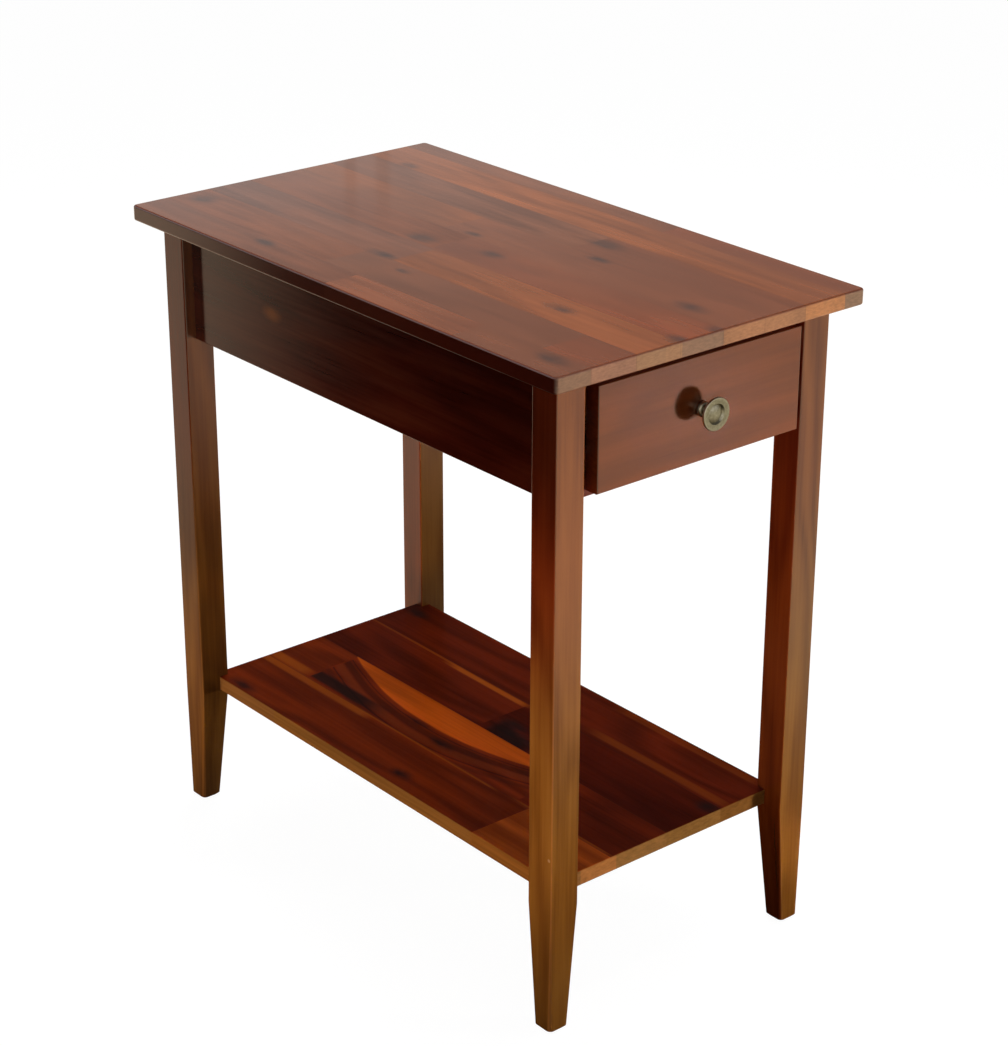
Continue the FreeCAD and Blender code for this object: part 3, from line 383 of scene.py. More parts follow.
def make_top_wood():
    material, g = new_material("top_wood")
    place, normal = g.place()
    x, y, z = g.split(place)
    facing_x, facing_y, facing_z = g.split(normal)
    tone, seed = strips(g, x, y, TOP_LENGTH, TOP_STRIPS)
    grain = Grain(g, y, x, z, seed, streaks=TOP_STREAKS)
    # End grain shows on the two short edges.
    end, side = g.facing(facing_y), g.facing(facing_x, 0.35, 0.75)
    end_grain = g.streaked((x, y, z), TOP_END_GRAIN, 4.0, 0.6)
    level = g.mix_value(end, grain.tone(0.34, 0.26, 0.40), end_grain)
    colour = paint_top_face(g, (x, y, z), grain, tone, level)
    # Painted shade: the long side faces are painted darker and redder.
    colour = g.mix(side, colour, g.scale_colour(g.mix(0.75, colour, TOP_SHADED_LONG_EDGE), 0.70))
    end_shade = g.add(g.spread(end_grain, 0.74, 1.14), g.linear(grain.mottle, 0.35, 0.65, -0.10, 0.10))
    colour = g.mix(end, colour, g.scale_colour(blocks_of(g, x, TOP_WIDTH, TOP_ENDS), end_shade))
    seam = glue_lines(g, x, TOP_FIRST_LINE, TOP_STRIP_WIDTH, TOP_SEAM_FADE)
    colour = g.mix(g.times(seam, 0.22), colour, TOP_GLUE)
    worn, above = arris(g, normal), g.math("GREATER_THAN", z, TOP_MIDDLE_LEVEL)
    colour = g.mix(g.times(worn, above, 0.6), colour, TOP_UPPER_ARRIS)
    colour = g.mix(g.times(worn, g.rest(above), 0.35), colour, TOP_LOWER_ARRIS)
    under = underside(g, facing_z)
    colour = g.mix(g.times(under, 0.5), colour, TOP_UNDER)
    height = g.add(g.times(grain.streaks, 0.2), g.times(grain.mottle, 0.5), g.times(seam, -0.1))
    roughness = g.add(g.spread(grain.mottle, 0.16, 0.20), g.times(end, 0.16), g.times(under, 0.25),
                      g.times(worn, 0.15))
    g.finish(colour, roughness, g.bump(height, 0.02, WOOD_RELIEF), Specular_IOR_Level=0.35,
             Coat_Weight=0.65, Coat_Roughness=0.03)
    return material


# The shelf's four strips
SHELF_LENGTH = 0.527
SHELF_WIDTH = 0.271
SHELF_STRIP_WIDTH = 0.0678
SHELF_FIRST_LINE = -0.1356
SHELF_SEAM_FADE = 0.0008
SHELF_DARK = (0.135, 0.013, 0.0015)
SHELF_RED = (0.195, 0.023, 0.0025)
SHELF_ORANGE = (0.570, 0.094, 0.005)
SHELF_STRIPS = (
    (-0.0677, ((-0.152, (0.400, 0.068, 0.005), 0.15), (0.27, SHELF_RED, 0.27))),
    (0.0001, ((-0.1327, SHELF_DARK, 0.36), (0.198, (0.195, 0.021, 0.0025), 0.48), (0.27, SHELF_RED, 0.59))),
    (0.0679, ((0.0057, (0.068, 0.006, 0.0010), 0.62), (0.27, (0.100, 0.010, 0.0015), 0.77))),
    (0.1360, ((0.27, (0.090, 0.009, 0.0014), 0.84),)),
)
# A tall arch of pale sapwood in the second strip: the block that it lies in, its own sizes, and the bands
# round it, each with its far and near limit, strength and colour
ARCH_LEFT, ARCH_RIGHT = -0.0677, 0.0001
ARCH_FRONT, ARCH_BACK = -0.1327, 0.198
ARCH_MIDDLE, ARCH_HALF, ARCH_RISE = 0.035, 0.168, 0.0368
ARCH_WOBBLE = 0.007
ARCH_EDGE = (-0.0010, 0.0016)
ARCH_BANDS = (
    (-0.0300, -0.0150, 0.50, (0.200, 0.034, 0.008)), (-0.0200, -0.0060, 0.75, (0.062, 0.010, 0.003)),
    (-0.0075, -0.0045, 0.55, (0.030, 0.007, 0.004)), (-0.0320, -0.0290, 0.60, (0.034, 0.008, 0.004)),
    (-0.0420, -0.0330, 0.45, (0.075, 0.013, 0.004)),
)
# A burnt patch: its middle and two half widths across, where it starts and is full, and its end
BURNT_MIDDLE, BURNT_HALVES = -0.0560, (0.0050, 0.0105)
BURNT_START, BURNT_END = (0.070, 0.125), 0.1965
SHELF_BURNT = (0.020, 0.008, 0.006)
# Pale streaks along the strips' edges: place across, start, end, half width and strength
SHELF_STREAKS = (
    (-0.0725, 0.090, 0.270, 0.0065, 0.85), (-0.0690, -0.100, 0.110, 0.0022, 0.60),
    (-0.0605, 0.204, 0.270, 0.0085, 0.85), (0.0635, 0.008, 0.125, 0.0050, 0.75),
    (0.0660, 0.110, 0.260, 0.0022, 0.30), (0.0770, -0.260, -0.080, 0.0070, 0.26),
    (-0.0670, -0.262, -0.134, 0.0020, 0.50), (0.1280, -0.250, -0.060, 0.0060, 0.16),
)
STREAK_WAVER = 0.006
STREAK_START_FADE, STREAK_END_FADE = 0.012, 0.02
SHELF_PALE = (0.38, 0.076, 0.006)
# A dark wedge, where a branch grew: a point of its slanted edge, the slope, and where it starts and ends
WEDGE_POINT, WEDGE_SLOPE = (0.019, -0.030), 0.42
WEDGE_EDGE = (-0.004, 0.006)
WEDGE_ALONG = (-0.075, -0.045, -0.012, 0.004)
SHELF_WEDGE = (0.012, 0.004, 0.003)
SHELF_KNOTS = (
    (-0.118, -0.025, 0.009, 0.018), (-0.052, -0.002, 0.007, 0.020), (-0.041, 0.045, 0.005, 0.024),
    (0.012, -0.040, 0.015, 0.040), (0.026, -0.018, 0.011, 0.024), (0.060, -0.255, 0.012, 0.020),
    (-0.128, 0.225, 0.010, 0.026), (0.112, 0.245, 0.010, 0.024),
)
SHELF_KNOT = (0.018, 0.008, 0.007)
SHELF_GLUE = (0.03, 0.010, 0.006)
SHELF_UNDER = (0.20, 0.085, 0.04)
# Blocks of the shelf's edges: the share of the width or length where each starts, and its colour
SHELF_ENDS = (
    (0.0, (0.24, 0.105, 0.032)), (0.115, (0.34, 0.130, 0.036)), (0.27, (0.23, 0.105, 0.030)),
    (0.50, (0.205, 0.094, 0.024)), (0.75, (0.170, 0.068, 0.015)),
)
SHELF_SIDES = ((0.0, (0.225, 0.076, 0.014)), (0.215, (0.215, 0.082, 0.018)), (0.8, (0.20, 0.076, 0.020)))
SHELF_END_GRAIN = (180.0, 40.0, 520.0)
SHELF_KNOT_EDGES = (90.0, 45.0, 0.0)


def paint_arch(g, x, y, grain, colour):
    """The arch of sapwood with dark arches round it, and a burnt patch at its back end."""
    along = g.times(g.add(y, -ARCH_MIDDLE), 1.0 / ARCH_HALF)
    wobble = g.times(g.add(grain.mottle, -0.5), ARCH_WOBBLE)
    reach = g.add(g.times(g.rest(g.times(along, along)), ARCH_RISE), wobble, x)
    strip = g.times(g.math("LESS_THAN", x, ARCH_RIGHT), g.math("GREATER_THAN", x, ARCH_LEFT))
    block = g.times(strip, g.math("LESS_THAN", y, ARCH_BACK), g.math("GREATER_THAN", y, ARCH_FRONT))
    for far, near, strength, tone in ARCH_BANDS:
        middle, half = (far + near) / 2, (near - far) / 2
        band = g.band(g.add(reach, -middle), half * 0.35, half, strength)
        colour = g.mix(g.times(band, block), colour, tone)
    sapwood = g.scale_colour(grain.tint(SHELF_ORANGE), g.linear(reach, 0.0, ARCH_RISE, 1.12, 0.80))
    colour = g.mix(g.times(g.smooth(reach, *ARCH_EDGE), strip, 0.9), colour, sapwood)
    burnt = g.times(g.smooth(y, *BURNT_START), g.math("LESS_THAN", y, BURNT_END),
                    g.band(g.add(x, -BURNT_MIDDLE), *BURNT_HALVES), 0.9)
    return g.mix(burnt, colour, SHELF_BURNT)


def paint_shelf_marks(g, place, grain, colour):
    """Pale streaks, a dark wedge beside the pale strip, where a branch grew, and knots."""
    x, y, z = place
    for at, start, stop, half, strength in SHELF_STREAKS:
        waver = g.times(g.add(grain.broad, -0.5), STREAK_WAVER)
        across = g.band(g.add(x, -at, waver), half * 0.4, half, strength)
        along = g.between(y, start - STREAK_START_FADE, start + STREAK_START_FADE,
                          stop - STREAK_END_FADE, stop + STREAK_END_FADE)
        colour = g.mix(g.times(across, along), colour, SHELF_PALE)
    point_x, point_y = WEDGE_POINT
    lean = g.add(g.times(g.add(y, -point_y), WEDGE_SLOPE), g.times(x, -1.0), point_x)
    wedge = g.times(g.smooth(lean, *WEDGE_EDGE), g.between(y, *WEDGE_ALONG),
                    g.math("GREATER_THAN", x, ARCH_RIGHT), g.smooth(grain.streaks, 0.30, 0.55, 0.6, 1.0),
                    0.85)
    colour = g.mix(wedge, colour, SHELF_WEDGE)
    rough_edge = g.linear(g.streaked(place, SHELF_KNOT_EDGES, 3.0), 0.3, 0.65, 0.4, 1.0)
    return g.mix(g.times(knots(g, x, y, SHELF_KNOTS), rough_edge, 0.9), colour, SHELF_KNOT)


def make_shelf_wood():
    material, g = new_material("shelf_wood")
    place, normal = g.place()
    x, y, z = g.split(place)
    facing_x, facing_y, facing_z = g.split(normal)
    tone, seed = strips(g, x, y, SHELF_LENGTH, SHELF_STRIPS)
    grain = Grain(g, y, x, z, seed)
    end, side = g.facing(facing_y), g.facing(facing_x)
    end_grain = g.streaked((x, y, z), SHELF_END_GRAIN, 4.0, 0.6)
    level = g.mix_value(end, grain.tone(), end_grain)
    colour = g.scale_colour(tone, g.spread(level, 0.62, 1.30))
    colour = paint_arch(g, x, y, grain, colour)
    colour = paint_shelf_marks(g, (x, y, z), grain, colour)
    seam = glue_lines(g, x, SHELF_FIRST_LINE, SHELF_STRIP_WIDTH, SHELF_SEAM_FADE)
    colour = g.mix(g.times(seam, 0.4), colour, SHELF_GLUE)
    # The edges are sanded paler and stained golden.
    end_tone = g.ramp(share_of(g, x, SHELF_WIDTH), SHELF_ENDS, "CONSTANT")[0]
    side_tone = g.ramp(share_of(g, y, SHELF_LENGTH), SHELF_SIDES, "CONSTANT")[0]
    colour = g.mix(end, colour, g.scale_colour(end_tone, g.spread(end_grain, 0.72, 1.16)))
    colour = g.mix(side, colour, g.scale_colour(side_tone, g.spread(grain.streaks, 0.75, 1.2)))
    under = underside(g, facing_z)
    colour = g.mix(g.times(under, 0.6), colour, grain.tint(SHELF_UNDER))
    height = g.add(g.times(grain.streaks, 0.5), g.times(grain.pores, -0.2), g.times(seam, -0.6))
    roughness = g.add(g.spread(grain.streaks, 0.18, 0.24), g.times(end, 0.15), g.times(under, 0.20))
    g.finish(colour, roughness, g.bump(height, 0.06, WOOD_RELIEF), Specular_IOR_Level=0.025)
    return material


BOARD_WAVE = 70.0
BOARD_END_GRAIN = (260.0, 30.0, 480.0)
TONE_RANGE = 0.2
DRIFT_WANDER = 0.12
SIDE_SHADE_REDDENING = (1.25, 0.58, 0.45)


def shade_tones(g, level, tones):
    """Dark, middle and light tone by a level from 0 to 1."""
    return g.ramp(level, tuple(zip((0.0, 0.5, 1.0), tones)))[0]


def paint_side_shade(g, colour, x, along, facing_x, low, high):
    """Painted shade: faces to the left and right are painted redder and darker above, and all the way down on
    the boards at the right.
    """
    upper = g.most(g.smooth(along, low, high, 0.08, 1.0), g.math("GREATER_THAN", x, 0.0))
    return g.mix(g.times(g.facing(facing_x, 0.5), upper), colour, SIDE_SHADE_REDDENING, "MULTIPLY")


def paint_board_light_and_shade(g, colour, parts, facing, tint):
    """Painted light and shade: one of four boards made lighter or darker by height, all round or on its face
    to the left or front.

    A tint is whether the board is at the right and at the back, the face's axis or None, the lower and upper
    level and the factor at each."""
    right, back, axis, low, high, start, stop = tint
    chosen = g.times(g.math("GREATER_THAN" if right else "LESS_THAN", parts["x"], 0.0),
                     g.math("GREATER_THAN" if back else "LESS_THAN", parts["y"], 0.0))
    if axis is not None:
        chosen = g.times(chosen, g.fade(facing[axis], -0.8, -0.5))
    factor = g.mix_value(chosen, 1.0, g.smooth(parts["z"], low, high, start, stop))
    return g.scale_colour(colour, factor)


def make_board_wood(name, run, tones, *, drift=None, seeds=(), gloss=0.30, lustre=0.5, contrast=1.0,
                    relief=0.04, spots=(), edge=None, redder=None, painted_light_and_shade=(), nicks=()):
    """Stained or bare board wood whose grain runs along one axis of the frame.

    tones are the dark, middle and light colours of the grain. drift is a second set of them, and where it
    takes over along the grain. seeds shifts the grain between boards that share the material. gloss is the
    roughness and lustre the strength of reflections. spots are sets of knots: the axis they face, their
    places, colour and strength. edge is the arrises' colour and strength, redder the levels between which
    side faces turn red as painted shade, painted_light_and_shade are boards made lighter or darker by height
    as painted light and shade, and nicks are small light marks: point, size and colour."""
    material, g = new_material(name)
    place, normal = g.place()
    parts, facing = dict(zip("xyz", g.split(place))), dict(zip("xyz", g.split(normal)))
    along = parts[run]
    across, depth = (parts[axis] for axis in "xyz" if axis != run)
    seed = 0.0
    for axis, factor in seeds:
        seed = g.add(g.times(g.math("GREATER_THAN", parts[axis], 0.0), factor), seed)
    grain = Grain(g, along, across, depth, seed, wave=BOARD_WAVE)
    reach = TONE_RANGE / contrast
    level = g.linear(grain.tone(), 0.5 - reach, 0.5 + reach)
    colour = shade_tones(g, level, tones)
    if drift is not None:
        other, start, stop = drift
        wander = g.times(g.add(grain.broad, -0.5), DRIFT_WANDER)
        colour = g.mix(g.smooth(g.add(along, wander), start, stop), colour, shade_tones(g, level, other))
    cloud = g.smooth(grain.broad, 0.38, 0.68)
    colour = g.mix(g.times(cloud, 0.28), colour, g.scale_colour(colour, 0.62))
    end = g.facing(facing[run])
    end_grain = g.streaked((across, along, depth), BOARD_END_GRAIN, 4.0, 0.6)
    colour = g.mix(g.times(end, 0.6), colour, g.scale_colour(colour, g.spread(end_grain, 0.5, 1.1)))
    for faced, places, tone, strength in spots:
        other_axis = next(axis for axis in "xyz" if axis not in (run, faced))
        colour = g.mix(g.times(knots(g, parts[other_axis], along, places), strength), colour, tone)
    if edge is not None:
        colour = g.mix(g.times(arris(g, normal), edge[1]), colour, edge[0])
    # Painted shade: side faces turn redder and darker.
    if redder is not None:
        colour = paint_side_shade(g, colour, parts["x"], along, facing["x"], *redder)
    # Painted light and shade on single boards.
    for tint in painted_light_and_shade:
        colour = paint_board_light_and_shade(g, colour, parts, facing, tint)
    for at, half, tone in nicks:
        colour = g.mix(g.fade(g.distance(place, at), half * 0.4, half, 0.7), colour, tone)
    colour = g.mix(g.times(grain.pores, 0.22), colour, g.scale_colour(colour, 0.5))
    height = g.add(g.times(grain.streaks, 0.5), g.times(grain.pores, -0.2))
    roughness = g.add(g.spread(grain.streaks, gloss - 0.02, gloss + 0.04), g.times(end, 0.1))
    g.finish(colour, roughness, g.bump(height, relief, WOOD_RELIEF), Specular_IOR_Level=lustre)
    return material


ROLLING_MARKS = (20.0, 900.0, 900.0)
BLOOM = 160.0
STEEL_RELIEF = 0.0002


def make_steel(name, colour, roughness, run):
    """Zinc-plated sheet with faint rolling marks along one axis."""
    material, g = new_material(name)
    place, _ = g.place()
    parts = dict(zip("xyz", g.split(place)))
    across = [parts[axis] for axis in "xyz" if axis != run]
    marks = g.streaked((parts[run], *across), ROLLING_MARKS, 3.0)
    bloom = g.noise(place, scale=BLOOM, detail=3.0)
    shade = g.add(g.spread(marks, 0.88, 1.04), g.spread(bloom, -0.05, 0.05))
    rough = g.add(g.spread(marks, roughness - 0.06, roughness + 0.08), g.spread(bloom, -0.03, 0.05))
    g.finish(g.scale_colour(colour, shade), rough, g.bump(marks, 0.08, STEEL_RELIEF), Metallic=1.0)
    return material


KNOB_RADIUS = 0.0148
KNOB_PATCHES, KNOB_PITS = 420.0, 2600.0
KNOB_RELIEF = 0.0003
# How far the brass is rubbed bright, by the share of the knob's radius
KNOB_WEAR = ((0.0, 0.85), (0.34, 0.74), (0.50, 0.70), (0.66, 0.70), (0.86, 0.76), (0.96, 1.0))
KNOB_BRASS = ((0.085, 0.070, 0.040), (0.25, 0.220, 0.145), (0.46, 0.415, 0.30))


def make_knob_metal():
    """Antiqued brass: dark in the groove and rubbed bright on the rim and button. The neck and the back of
    the rim are painted bright brass, a painted highlight.
    """
    material, g = new_material("knob_metal")
    place, normal = g.place()
    x, y, z = g.split(place)
    low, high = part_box("drawer_knob")
    middle = (low + high) / 2
    radius = g.hypotenuse(g.add(x, -middle.x), g.add(z, -middle.z))
    patches = g.noise(place, scale=KNOB_PATCHES, detail=4.0, roughness=0.6)
    pits = g.noise(place, scale=KNOB_PITS)
    wear_and_highlight = g.ramp(g.times(radius, 1.0 / KNOB_RADIUS), tuple((at, (worn,) * 3) for at, worn in KNOB_WEAR))[0]
    wear_and_highlight = g.math("ADD", wear_and_highlight, g.spread(patches, -0.22, 0.22), clamp=True)
    # Painted highlight: faces turned away from the front, on the neck and the back of the rim, are painted
    # bright.
    behind = g.smooth(g.split(normal)[1], -0.45, 0.15)
    wear_and_highlight = g.mix_value(behind, wear_and_highlight, g.spread(patches, 0.55, 1.0))
    height = g.add(g.times(patches, 0.5), g.times(pits, 0.2))
    g.finish(shade_tones(g, wear_and_highlight, KNOB_BRASS), g.linear(wear_and_highlight, 0.0, 1.0, 0.50, 0.30),
             g.bump(height, 0.10, KNOB_RELIEF), Metallic=1.0)
    return material


# Dark, middle and light tones of the boards. The legs turn more golden towards the floor, partly as the
# wood's own colour and partly as painted light from the floor.
LEG_UPPER = ((0.165, 0.036, 0.007), (0.245, 0.063, 0.012), (0.305, 0.086, 0.017))
LEG_LOWER = ((0.130, 0.044, 0.006), (0.185, 0.068, 0.010), (0.235, 0.092, 0.015))
# Painted shade: the aprons and rails get much darker tones than the legs, as the aprons stand in shade under
# the top.
SHADED_APRON = ((0.085, 0.008, 0.003), (0.130, 0.014, 0.005), (0.175, 0.024, 0.008))
FRONT = ((0.126, 0.026, 0.006), (0.163, 0.034, 0.007), (0.204, 0.042, 0.009))
BARE = ((0.42, 0.26, 0.14), (0.56, 0.37, 0.21), (0.66, 0.46, 0.28))
ROUGH = ((0.34, 0.20, 0.10), (0.46, 0.29, 0.16), (0.55, 0.37, 0.22))
PANEL = ((0.50, 0.34, 0.20), (0.62, 0.45, 0.29), (0.71, 0.54, 0.37))
APRON_EDGE = ((0.20, 0.06, 0.025), 0.4)
APRON_KNOT = ("x", ((0.562, 0.125, 0.008, 0.016),), (0.50, 0.13, 0.02), 0.95)
LEG_NICK = ((-0.156, -0.2805, 0.1765), 0.0022, (0.36, 0.20, 0.09))
# Painted light and shade on the legs: the front right leg lighter below and darker above, a painted shadow
# low on its left face, and the front faces of the left legs darker, at the foot in front and all the way up
# behind.
LEG_PAINTED_LIGHT_AND_SHADE = (
    (True, False, None, 0.08, 0.42, 1.34, 0.66),
    (True, False, "x", 0.05, 0.42, 0.42, 1.0),
    (False, False, "y", 0.02, 0.15, 0.68, 1.0),
    (False, True, "y", 0.10, 0.50, 0.62, 0.72),
)


def dress_wood():
    dress(make_top_wood(), "table_top")
    dress(make_shelf_wood(), "lower_shelf")
    leg_wood = make_board_wood("leg_wood", "z", LEG_LOWER, drift=(LEG_UPPER, 0.24, 0.50),
                               seeds=(("x", 0.37), ("y", 0.73)), gloss=0.19, lustre=0.82,
                               edge=((0.40, 0.15, 0.035), 0.40), redder=(0.30, 0.46), painted_light_and_shade=LEG_PAINTED_LIGHT_AND_SHADE,
                               nicks=(LEG_NICK,))
    dress(leg_wood, "leg_front_left", "leg_front_right", "leg_back_left", "leg_back_right")
    apron_wood = make_board_wood("apron_wood", "y", SHADED_APRON, seeds=(("x", 0.37),), gloss=0.14, lustre=0.66,
                                 spots=(APRON_KNOT,), edge=APRON_EDGE)
    dress(apron_wood, "side_apron_left", "side_apron_right")
    cross_wood = make_board_wood("cross_wood", "x", SHADED_APRON, seeds=(("y", 0.61),), lustre=0.58, edge=APRON_EDGE)
    dress(cross_wood, "back_apron", "front_top_rail", "front_bottom_rail")
    front_wood = make_board_wood("front_wood", "x", FRONT, gloss=0.12, lustre=0.80, contrast=0.8,
                                 edge=((0.30, 0.14, 0.07), 0.35))
    dress(front_wood, "drawer_front")
    box_wood = make_board_wood("box_wood", "y", BARE, seeds=(("x", 0.37),), gloss=0.46, relief=0.12)
    dress(box_wood, "drawer_side_left", "drawer_side_right")
    box_end_wood = make_board_wood("box_end_wood", "x", BARE, seeds=(("y", 0.53),), gloss=0.46, relief=0.12)
    dress(box_end_wood, "drawer_box_front", "drawer_box_back")
    dress(make_board_wood("panel_wood", "x", PANEL, gloss=0.5, contrast=0.8, relief=0.12), "drawer_bottom")
    inner_wood = make_board_wood("inner_wood", "y", ROUGH, seeds=(("x", 0.29),), gloss=0.55, relief=0.15)
    dress(inner_wood, "top_cleat_left", "top_cleat_right", "side_apron_dowels")
    block_wood = make_board_wood("block_wood", "z", ROUGH, seeds=(("x", 0.43),), gloss=0.55, relief=0.15)
    dress(block_wood, "corner_block_left", "corner_block_right", "back_apron_dowels", "rail_dowels")


def dress_metal():
    dress(make_steel("screw_steel", (0.56, 0.55, 0.50), 0.34, "z"), "cleat_screws", "top_screws",
          "rail_screws", "shelf_screws", "drawer_front_screws", "knob_screw", "slide_outer_screws",
          "slide_inner_screws")
    dress(make_steel("slide_steel", (0.60, 0.61, 0.62), 0.28, "y"), "slide_left_outer", "slide_right_outer",
          "slide_left_inner", "slide_right_inner", "slide_left_retainer", "slide_right_retainer")
    dress(make_steel("ball_steel", (0.70, 0.70, 0.72), 0.12, "y"), "slide_left_balls", "slide_right_balls")
    dress(make_knob_metal(), "drawer_knob")


# The way from the camera past the table, as a direction on the floor
BEYOND = (0.475, 0.88)
BESIDE = (0.81, 0.59)
FLOOR_HALF = 9.0
FLOOR_LEVEL = -0.0004
WARM_PAPER = (1.0, 0.73, 0.51)
PALE_PAPER = (1.0, 0.94, 0.74)
SEEN_PAPER = (0.10, 0.10, 0.10)
FRONT_STRENGTH = 0.68
SEEN_STRENGTH = 0.97
WHITE = (1.0, 1.0, 1.0)
# The paper that gives light back: its tint, where its light part is, and how light it is there and beyond
LIT_PAPER = (1.0, 0.94, 0.82)
NEAR_X, NEAR_Y = (-0.75, -0.45, -0.15, 0.10), (-0.9, -0.5, 0.0, 0.4)
NEAR_PAPER, FAR_PAPER = 0.9, 0.16
FLECKS = 60.0


def toward(g, x, y, way):
    """How far a place lies along a direction on the floor."""
    return g.add(g.times(x, way[0]), g.times(y, way[1]))


def reflected_rays(g, light):
    return g.most(light.outputs["Is Glossy Ray"], light.outputs["Is Transmission Ray"])


def paper_in_reflections(g, x, y):
    """Warm behind the table, pale in front of it and dark to the left."""
    front = g.times(g.smooth(toward(g, x, y, (1.0, -1.0)), 0.45, 1.45), g.fade(y, -0.1, 0.3))
    front = g.most(front, g.smooth(y, -0.65, -0.95))
    behind = g.times(g.smooth(toward(g, x, y, BEYOND), 0.0, 0.75),
                     g.smooth(toward(g, x, y, BESIDE), -0.10, 0.19))
    strength = g.most(behind, g.times(front, FRONT_STRENGTH))
    return g.shader("Emission", g.mix(front, WARM_PAPER, PALE_PAPER), strength)


def paper_as_light(g, place, x, y):
    """The light that the floor gives back, most of it from the paper near the table."""
    near = g.times(g.between(x, *NEAR_X), g.between(y, *NEAR_Y))
    fleck = g.noise(place, scale=FLECKS, detail=3.0)
    tone = g.times(g.spread(fleck, 0.80, 0.84), g.linear(near, 0.0, 1.0, FAR_PAPER, NEAR_PAPER))
    return g.shader("BsdfDiffuse", g.scale_colour(LIT_PAPER, tone))


def make_floor():
    """A wide floor that the camera sees white with the table's shadow, and that lights the table softly."""
    mesh = bpy.data.meshes.new("floor")
    shape = bmesh.new()
    bmesh.ops.create_grid(shape, x_segments=8, y_segments=8, size=FLOOR_HALF)
    shape.to_mesh(mesh)
    shape.free()
    floor = bpy.data.objects.new("floor", mesh)
    floor.location = (0.0, 0.0, FLOOR_LEVEL)
    bpy.context.scene.collection.objects.link(floor)
    material, g = new_material("floor_paper")
    place, _ = g.place()
    x, y, _ = g.split(place)
    light = g.node("ShaderNodeLightPath")
    shadowed, glow = g.shader("BsdfDiffuse", SEEN_PAPER), g.shader("Emission", WHITE, SEEN_STRENGTH)
    seen = g.shader("AddShader", shadowed, glow)
    unseen = g.shader("MixShader", reflected_rays(g, light), paper_as_light(g, place, x, y),
                      paper_in_reflections(g, x, y))
    g.output(g.shader("MixShader", light.outputs["Is Camera Ray"], unseen, seen))
    mesh.materials.append(material)


# Folds of the backdrop: their direction in degrees, half width and darkness
FOLDS = ((36.47, 0.0034, 0.60), (37.20, 0.0042, 0.60))
BACKDROP_STRENGTH = 0.56
WALL_STRENGTH = 0.88
ROOM_STRENGTH = 0.11
# Fill light from all round, from behind the table, from above and from in front
FILL_ROUND, FILL_BEHIND, FILL_ABOVE, FILL_AHEAD = 0.012, 0.16, 0.12, 0.05


def studio_in_reflections(g, x, y, z):
    """A bright backdrop low behind the table, and white walls to the left and in front for the knob."""
    behind = g.smooth(toward(g, x, y, BESIDE), 0.06, 0.22)
    left = g.smooth(x, 0.50, 0.72, 1.0, 0.3)
    backdrop = g.times(behind, left, g.fade(z, 0.22, 0.335))
    # Folds of the backdrop show as dark streaks in the polished top.
    for angle, half, depth in FOLDS:
        across = (math.cos(math.radians(angle)), -math.sin(math.radians(angle)))
        fold = g.band(toward(g, x, y, across), half * 0.25, half, depth)
        backdrop = g.times(backdrop, g.rest(g.times(fold, g.smooth(z, 0.272, 0.300, 1.0, 0.10))))
    window = g.times(g.smooth(x, -0.10, -0.40), g.between(z, 0.0, 0.06, 0.75, 0.95))
    ahead = g.times(g.smooth(y, -0.50, -0.80), g.fade(z, 0.34, 0.60))
    walls = g.times(g.most(window, ahead), WALL_STRENGTH)
    return g.add(g.times(backdrop, BACKDROP_STRENGTH), walls, ROOM_STRENGTH)


def make_world():
    """White where the camera sees it, a studio in reflections, and soft fill light."""
    world = bpy.data.worlds.new("studio")
    bpy.context.scene.world = world
    world.use_nodes = True
    g = Graph(world.node_tree)
    x, y, z = g.split(g.node("ShaderNodeTexCoord").outputs["Generated"])
    light = g.node("ShaderNodeLightPath")
    fill = g.add(FILL_ROUND, g.times(g.smooth(toward(g, x, y, BESIDE), 0.0, 0.8), FILL_BEHIND),
                 g.times(g.smooth(z, 0.0, 1.0), FILL_ABOVE), g.times(g.smooth(y, -0.2, -0.9), FILL_AHEAD))
    level = g.mix_value(reflected_rays(g, light), fill, studio_in_reflections(g, x, y, z))
    level = g.mix_value(light.outputs["Is Camera Ray"], level, 1.0)
    g.output(g.shader("Background", WHITE, level), "World")


# Soft lamps: place, aim, size, power, colour and spread in degrees
LAMPS = {
    "key_low_right": ((0.87, -1.21, 0.06), (-0.05, -1.62, 0.42), (0.4, 0.24), 68.0, (1.0, 0.97, 0.93), 180.0),
    "right_low": ((0.62, -0.86, 0.05), (0.155, -0.28, 0.08), (0.12, 0.06), 0.022, (1.0, 0.95, 0.88), 9.0),
    "front_soft": ((-0.32, -2.2, 0.50), (-0.20, -0.28, 0.62), (0.7, 0.7), 0.35, WHITE, 50.0),
    "above": ((0.30, 0.00, 2.30), (0.0, 0.0, 0.5), (1.3, 1.3), 31.0, WHITE, 180.0),
    "above_back": ((0.90, 0.90, 1.70), (0.0, 0.0, 0.5), (1.0, 1.0), 12.0, WHITE, 180.0),
    "left_low": ((-0.85, -0.50, 0.03), (-0.156, -0.16, 0.20), (0.4, 0.08), 0.34, (1.0, 0.86, 0.64), 44.0),
    "left_shelf": ((-1.10, 0.06, 0.62), (0.0, 0.02, 0.14), (0.5, 0.05), 0.12, (1.0, 0.96, 0.88), 22.0),
    "left_floor": ((-0.45, 0.10, 0.02), (-0.45, 0.10, 1.0), (0.4, 0.4), 0.30, (1.0, 0.80, 0.55), 180.0),
    "left_near": ((-0.85, -0.32, 0.03), (-0.156, -0.28, 0.28), (0.2, 0.06), 0.11, (1.0, 0.86, 0.64), 34.0),
    "left_back": ((-0.90, 0.32, 0.04), (-0.156, 0.28, 0.10), (0.2, 0.08), 0.14, (1.0, 0.88, 0.68), 34.0),
}


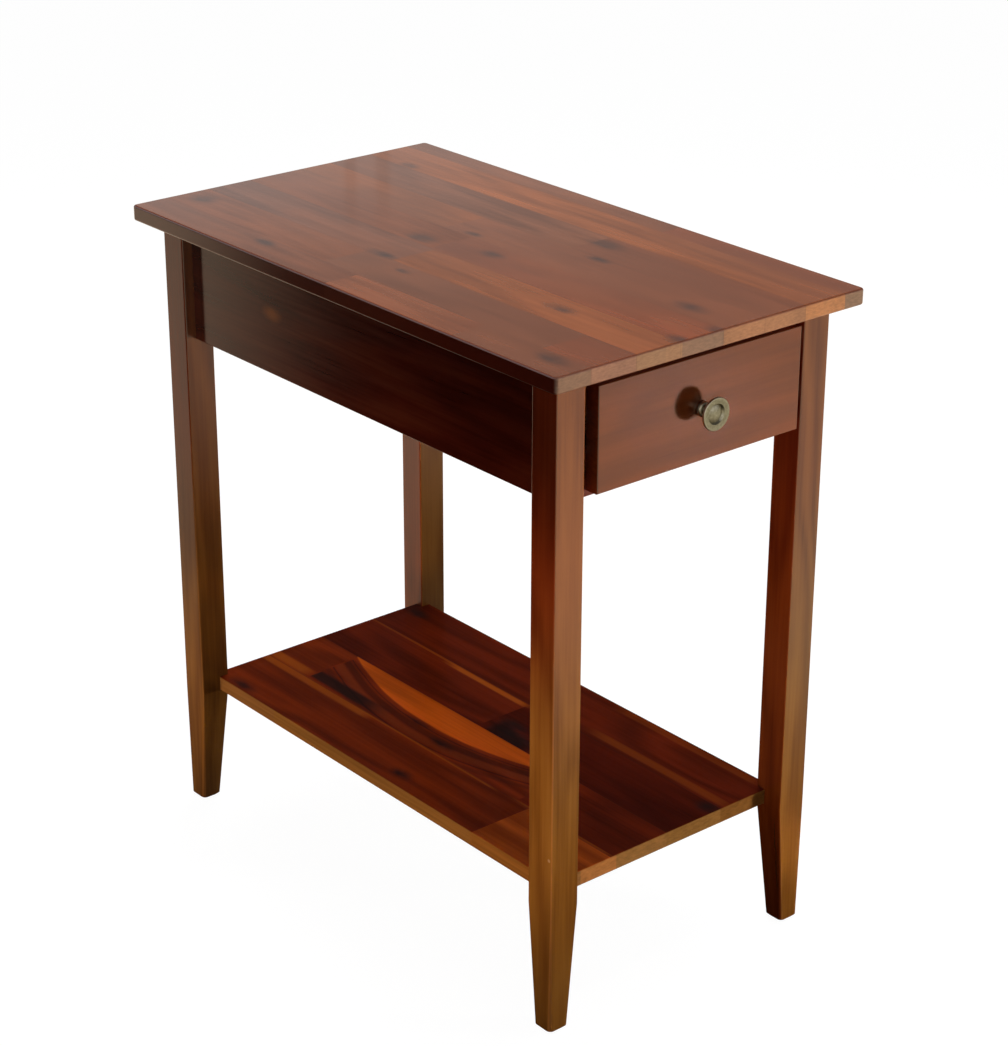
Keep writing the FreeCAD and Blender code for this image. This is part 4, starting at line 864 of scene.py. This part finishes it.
def add_lamp(name, at, aim, size, power, colour, spread):
    """A rectangle of light that neither the camera nor reflections see."""
    lamp = bpy.data.lights.new(name, "AREA")
    lamp.shape = "RECTANGLE"
    lamp.size, lamp.size_y = size
    lamp.energy = power
    lamp.color = colour
    lamp.spread = math.radians(spread)
    holder = bpy.data.objects.new(name, lamp)
    turn = (Vector(aim) - Vector(at)).to_track_quat("-Z", "Y").to_matrix().to_4x4()
    holder.matrix_world = Matrix.Translation(Vector(at)) @ turn
    holder.visible_camera = False
    holder.visible_glossy = False
    bpy.context.scene.collection.objects.link(holder)


# The camera, found by fitting the table's straight edges to the photograph
FOCAL_PIXELS = 2622.86
PHOTO_HEIGHT = 1046.0
SENSOR = 36.0
SIGHT_LIMIT = 60.0
CAMERA_PLACE = (-1.43966, -1.75152, 1.34112)
CAMERA_YAW, CAMERA_PITCH, CAMERA_ROLL = (math.radians(angle) for angle in (-39.95, -23.48, 0.18))


def make_camera():
    lens = bpy.data.cameras.new("camera")
    lens.sensor_width = SENSOR
    lens.lens = FOCAL_PIXELS / PHOTO_HEIGHT * SENSOR
    lens.clip_end = SIGHT_LIMIT
    camera = bpy.data.objects.new("camera", lens)
    flat = math.cos(CAMERA_PITCH)
    ahead = Vector((-math.sin(CAMERA_YAW) * flat, math.cos(CAMERA_YAW) * flat, math.sin(CAMERA_PITCH)))
    right = ahead.cross(Vector((0.0, 0.0, 1.0))).normalized()
    up = right.cross(ahead)
    level = right * math.cos(CAMERA_ROLL) + up * math.sin(CAMERA_ROLL)
    upright = up * math.cos(CAMERA_ROLL) - right * math.sin(CAMERA_ROLL)
    turn = Matrix((level, upright, -ahead)).transposed().to_4x4()
    camera.matrix_world = Matrix.Translation(Vector(CAMERA_PLACE)) @ turn
    bpy.context.scene.collection.objects.link(camera)
    bpy.context.scene.camera = camera


dress_wood()
dress_metal()
make_floor()
make_world()
for lamp_name, settings in LAMPS.items():
    add_lamp(lamp_name, *settings)
make_camera()
bpy.context.scene.view_settings.view_transform = "Standard"

bpy.context.view_layer.update()
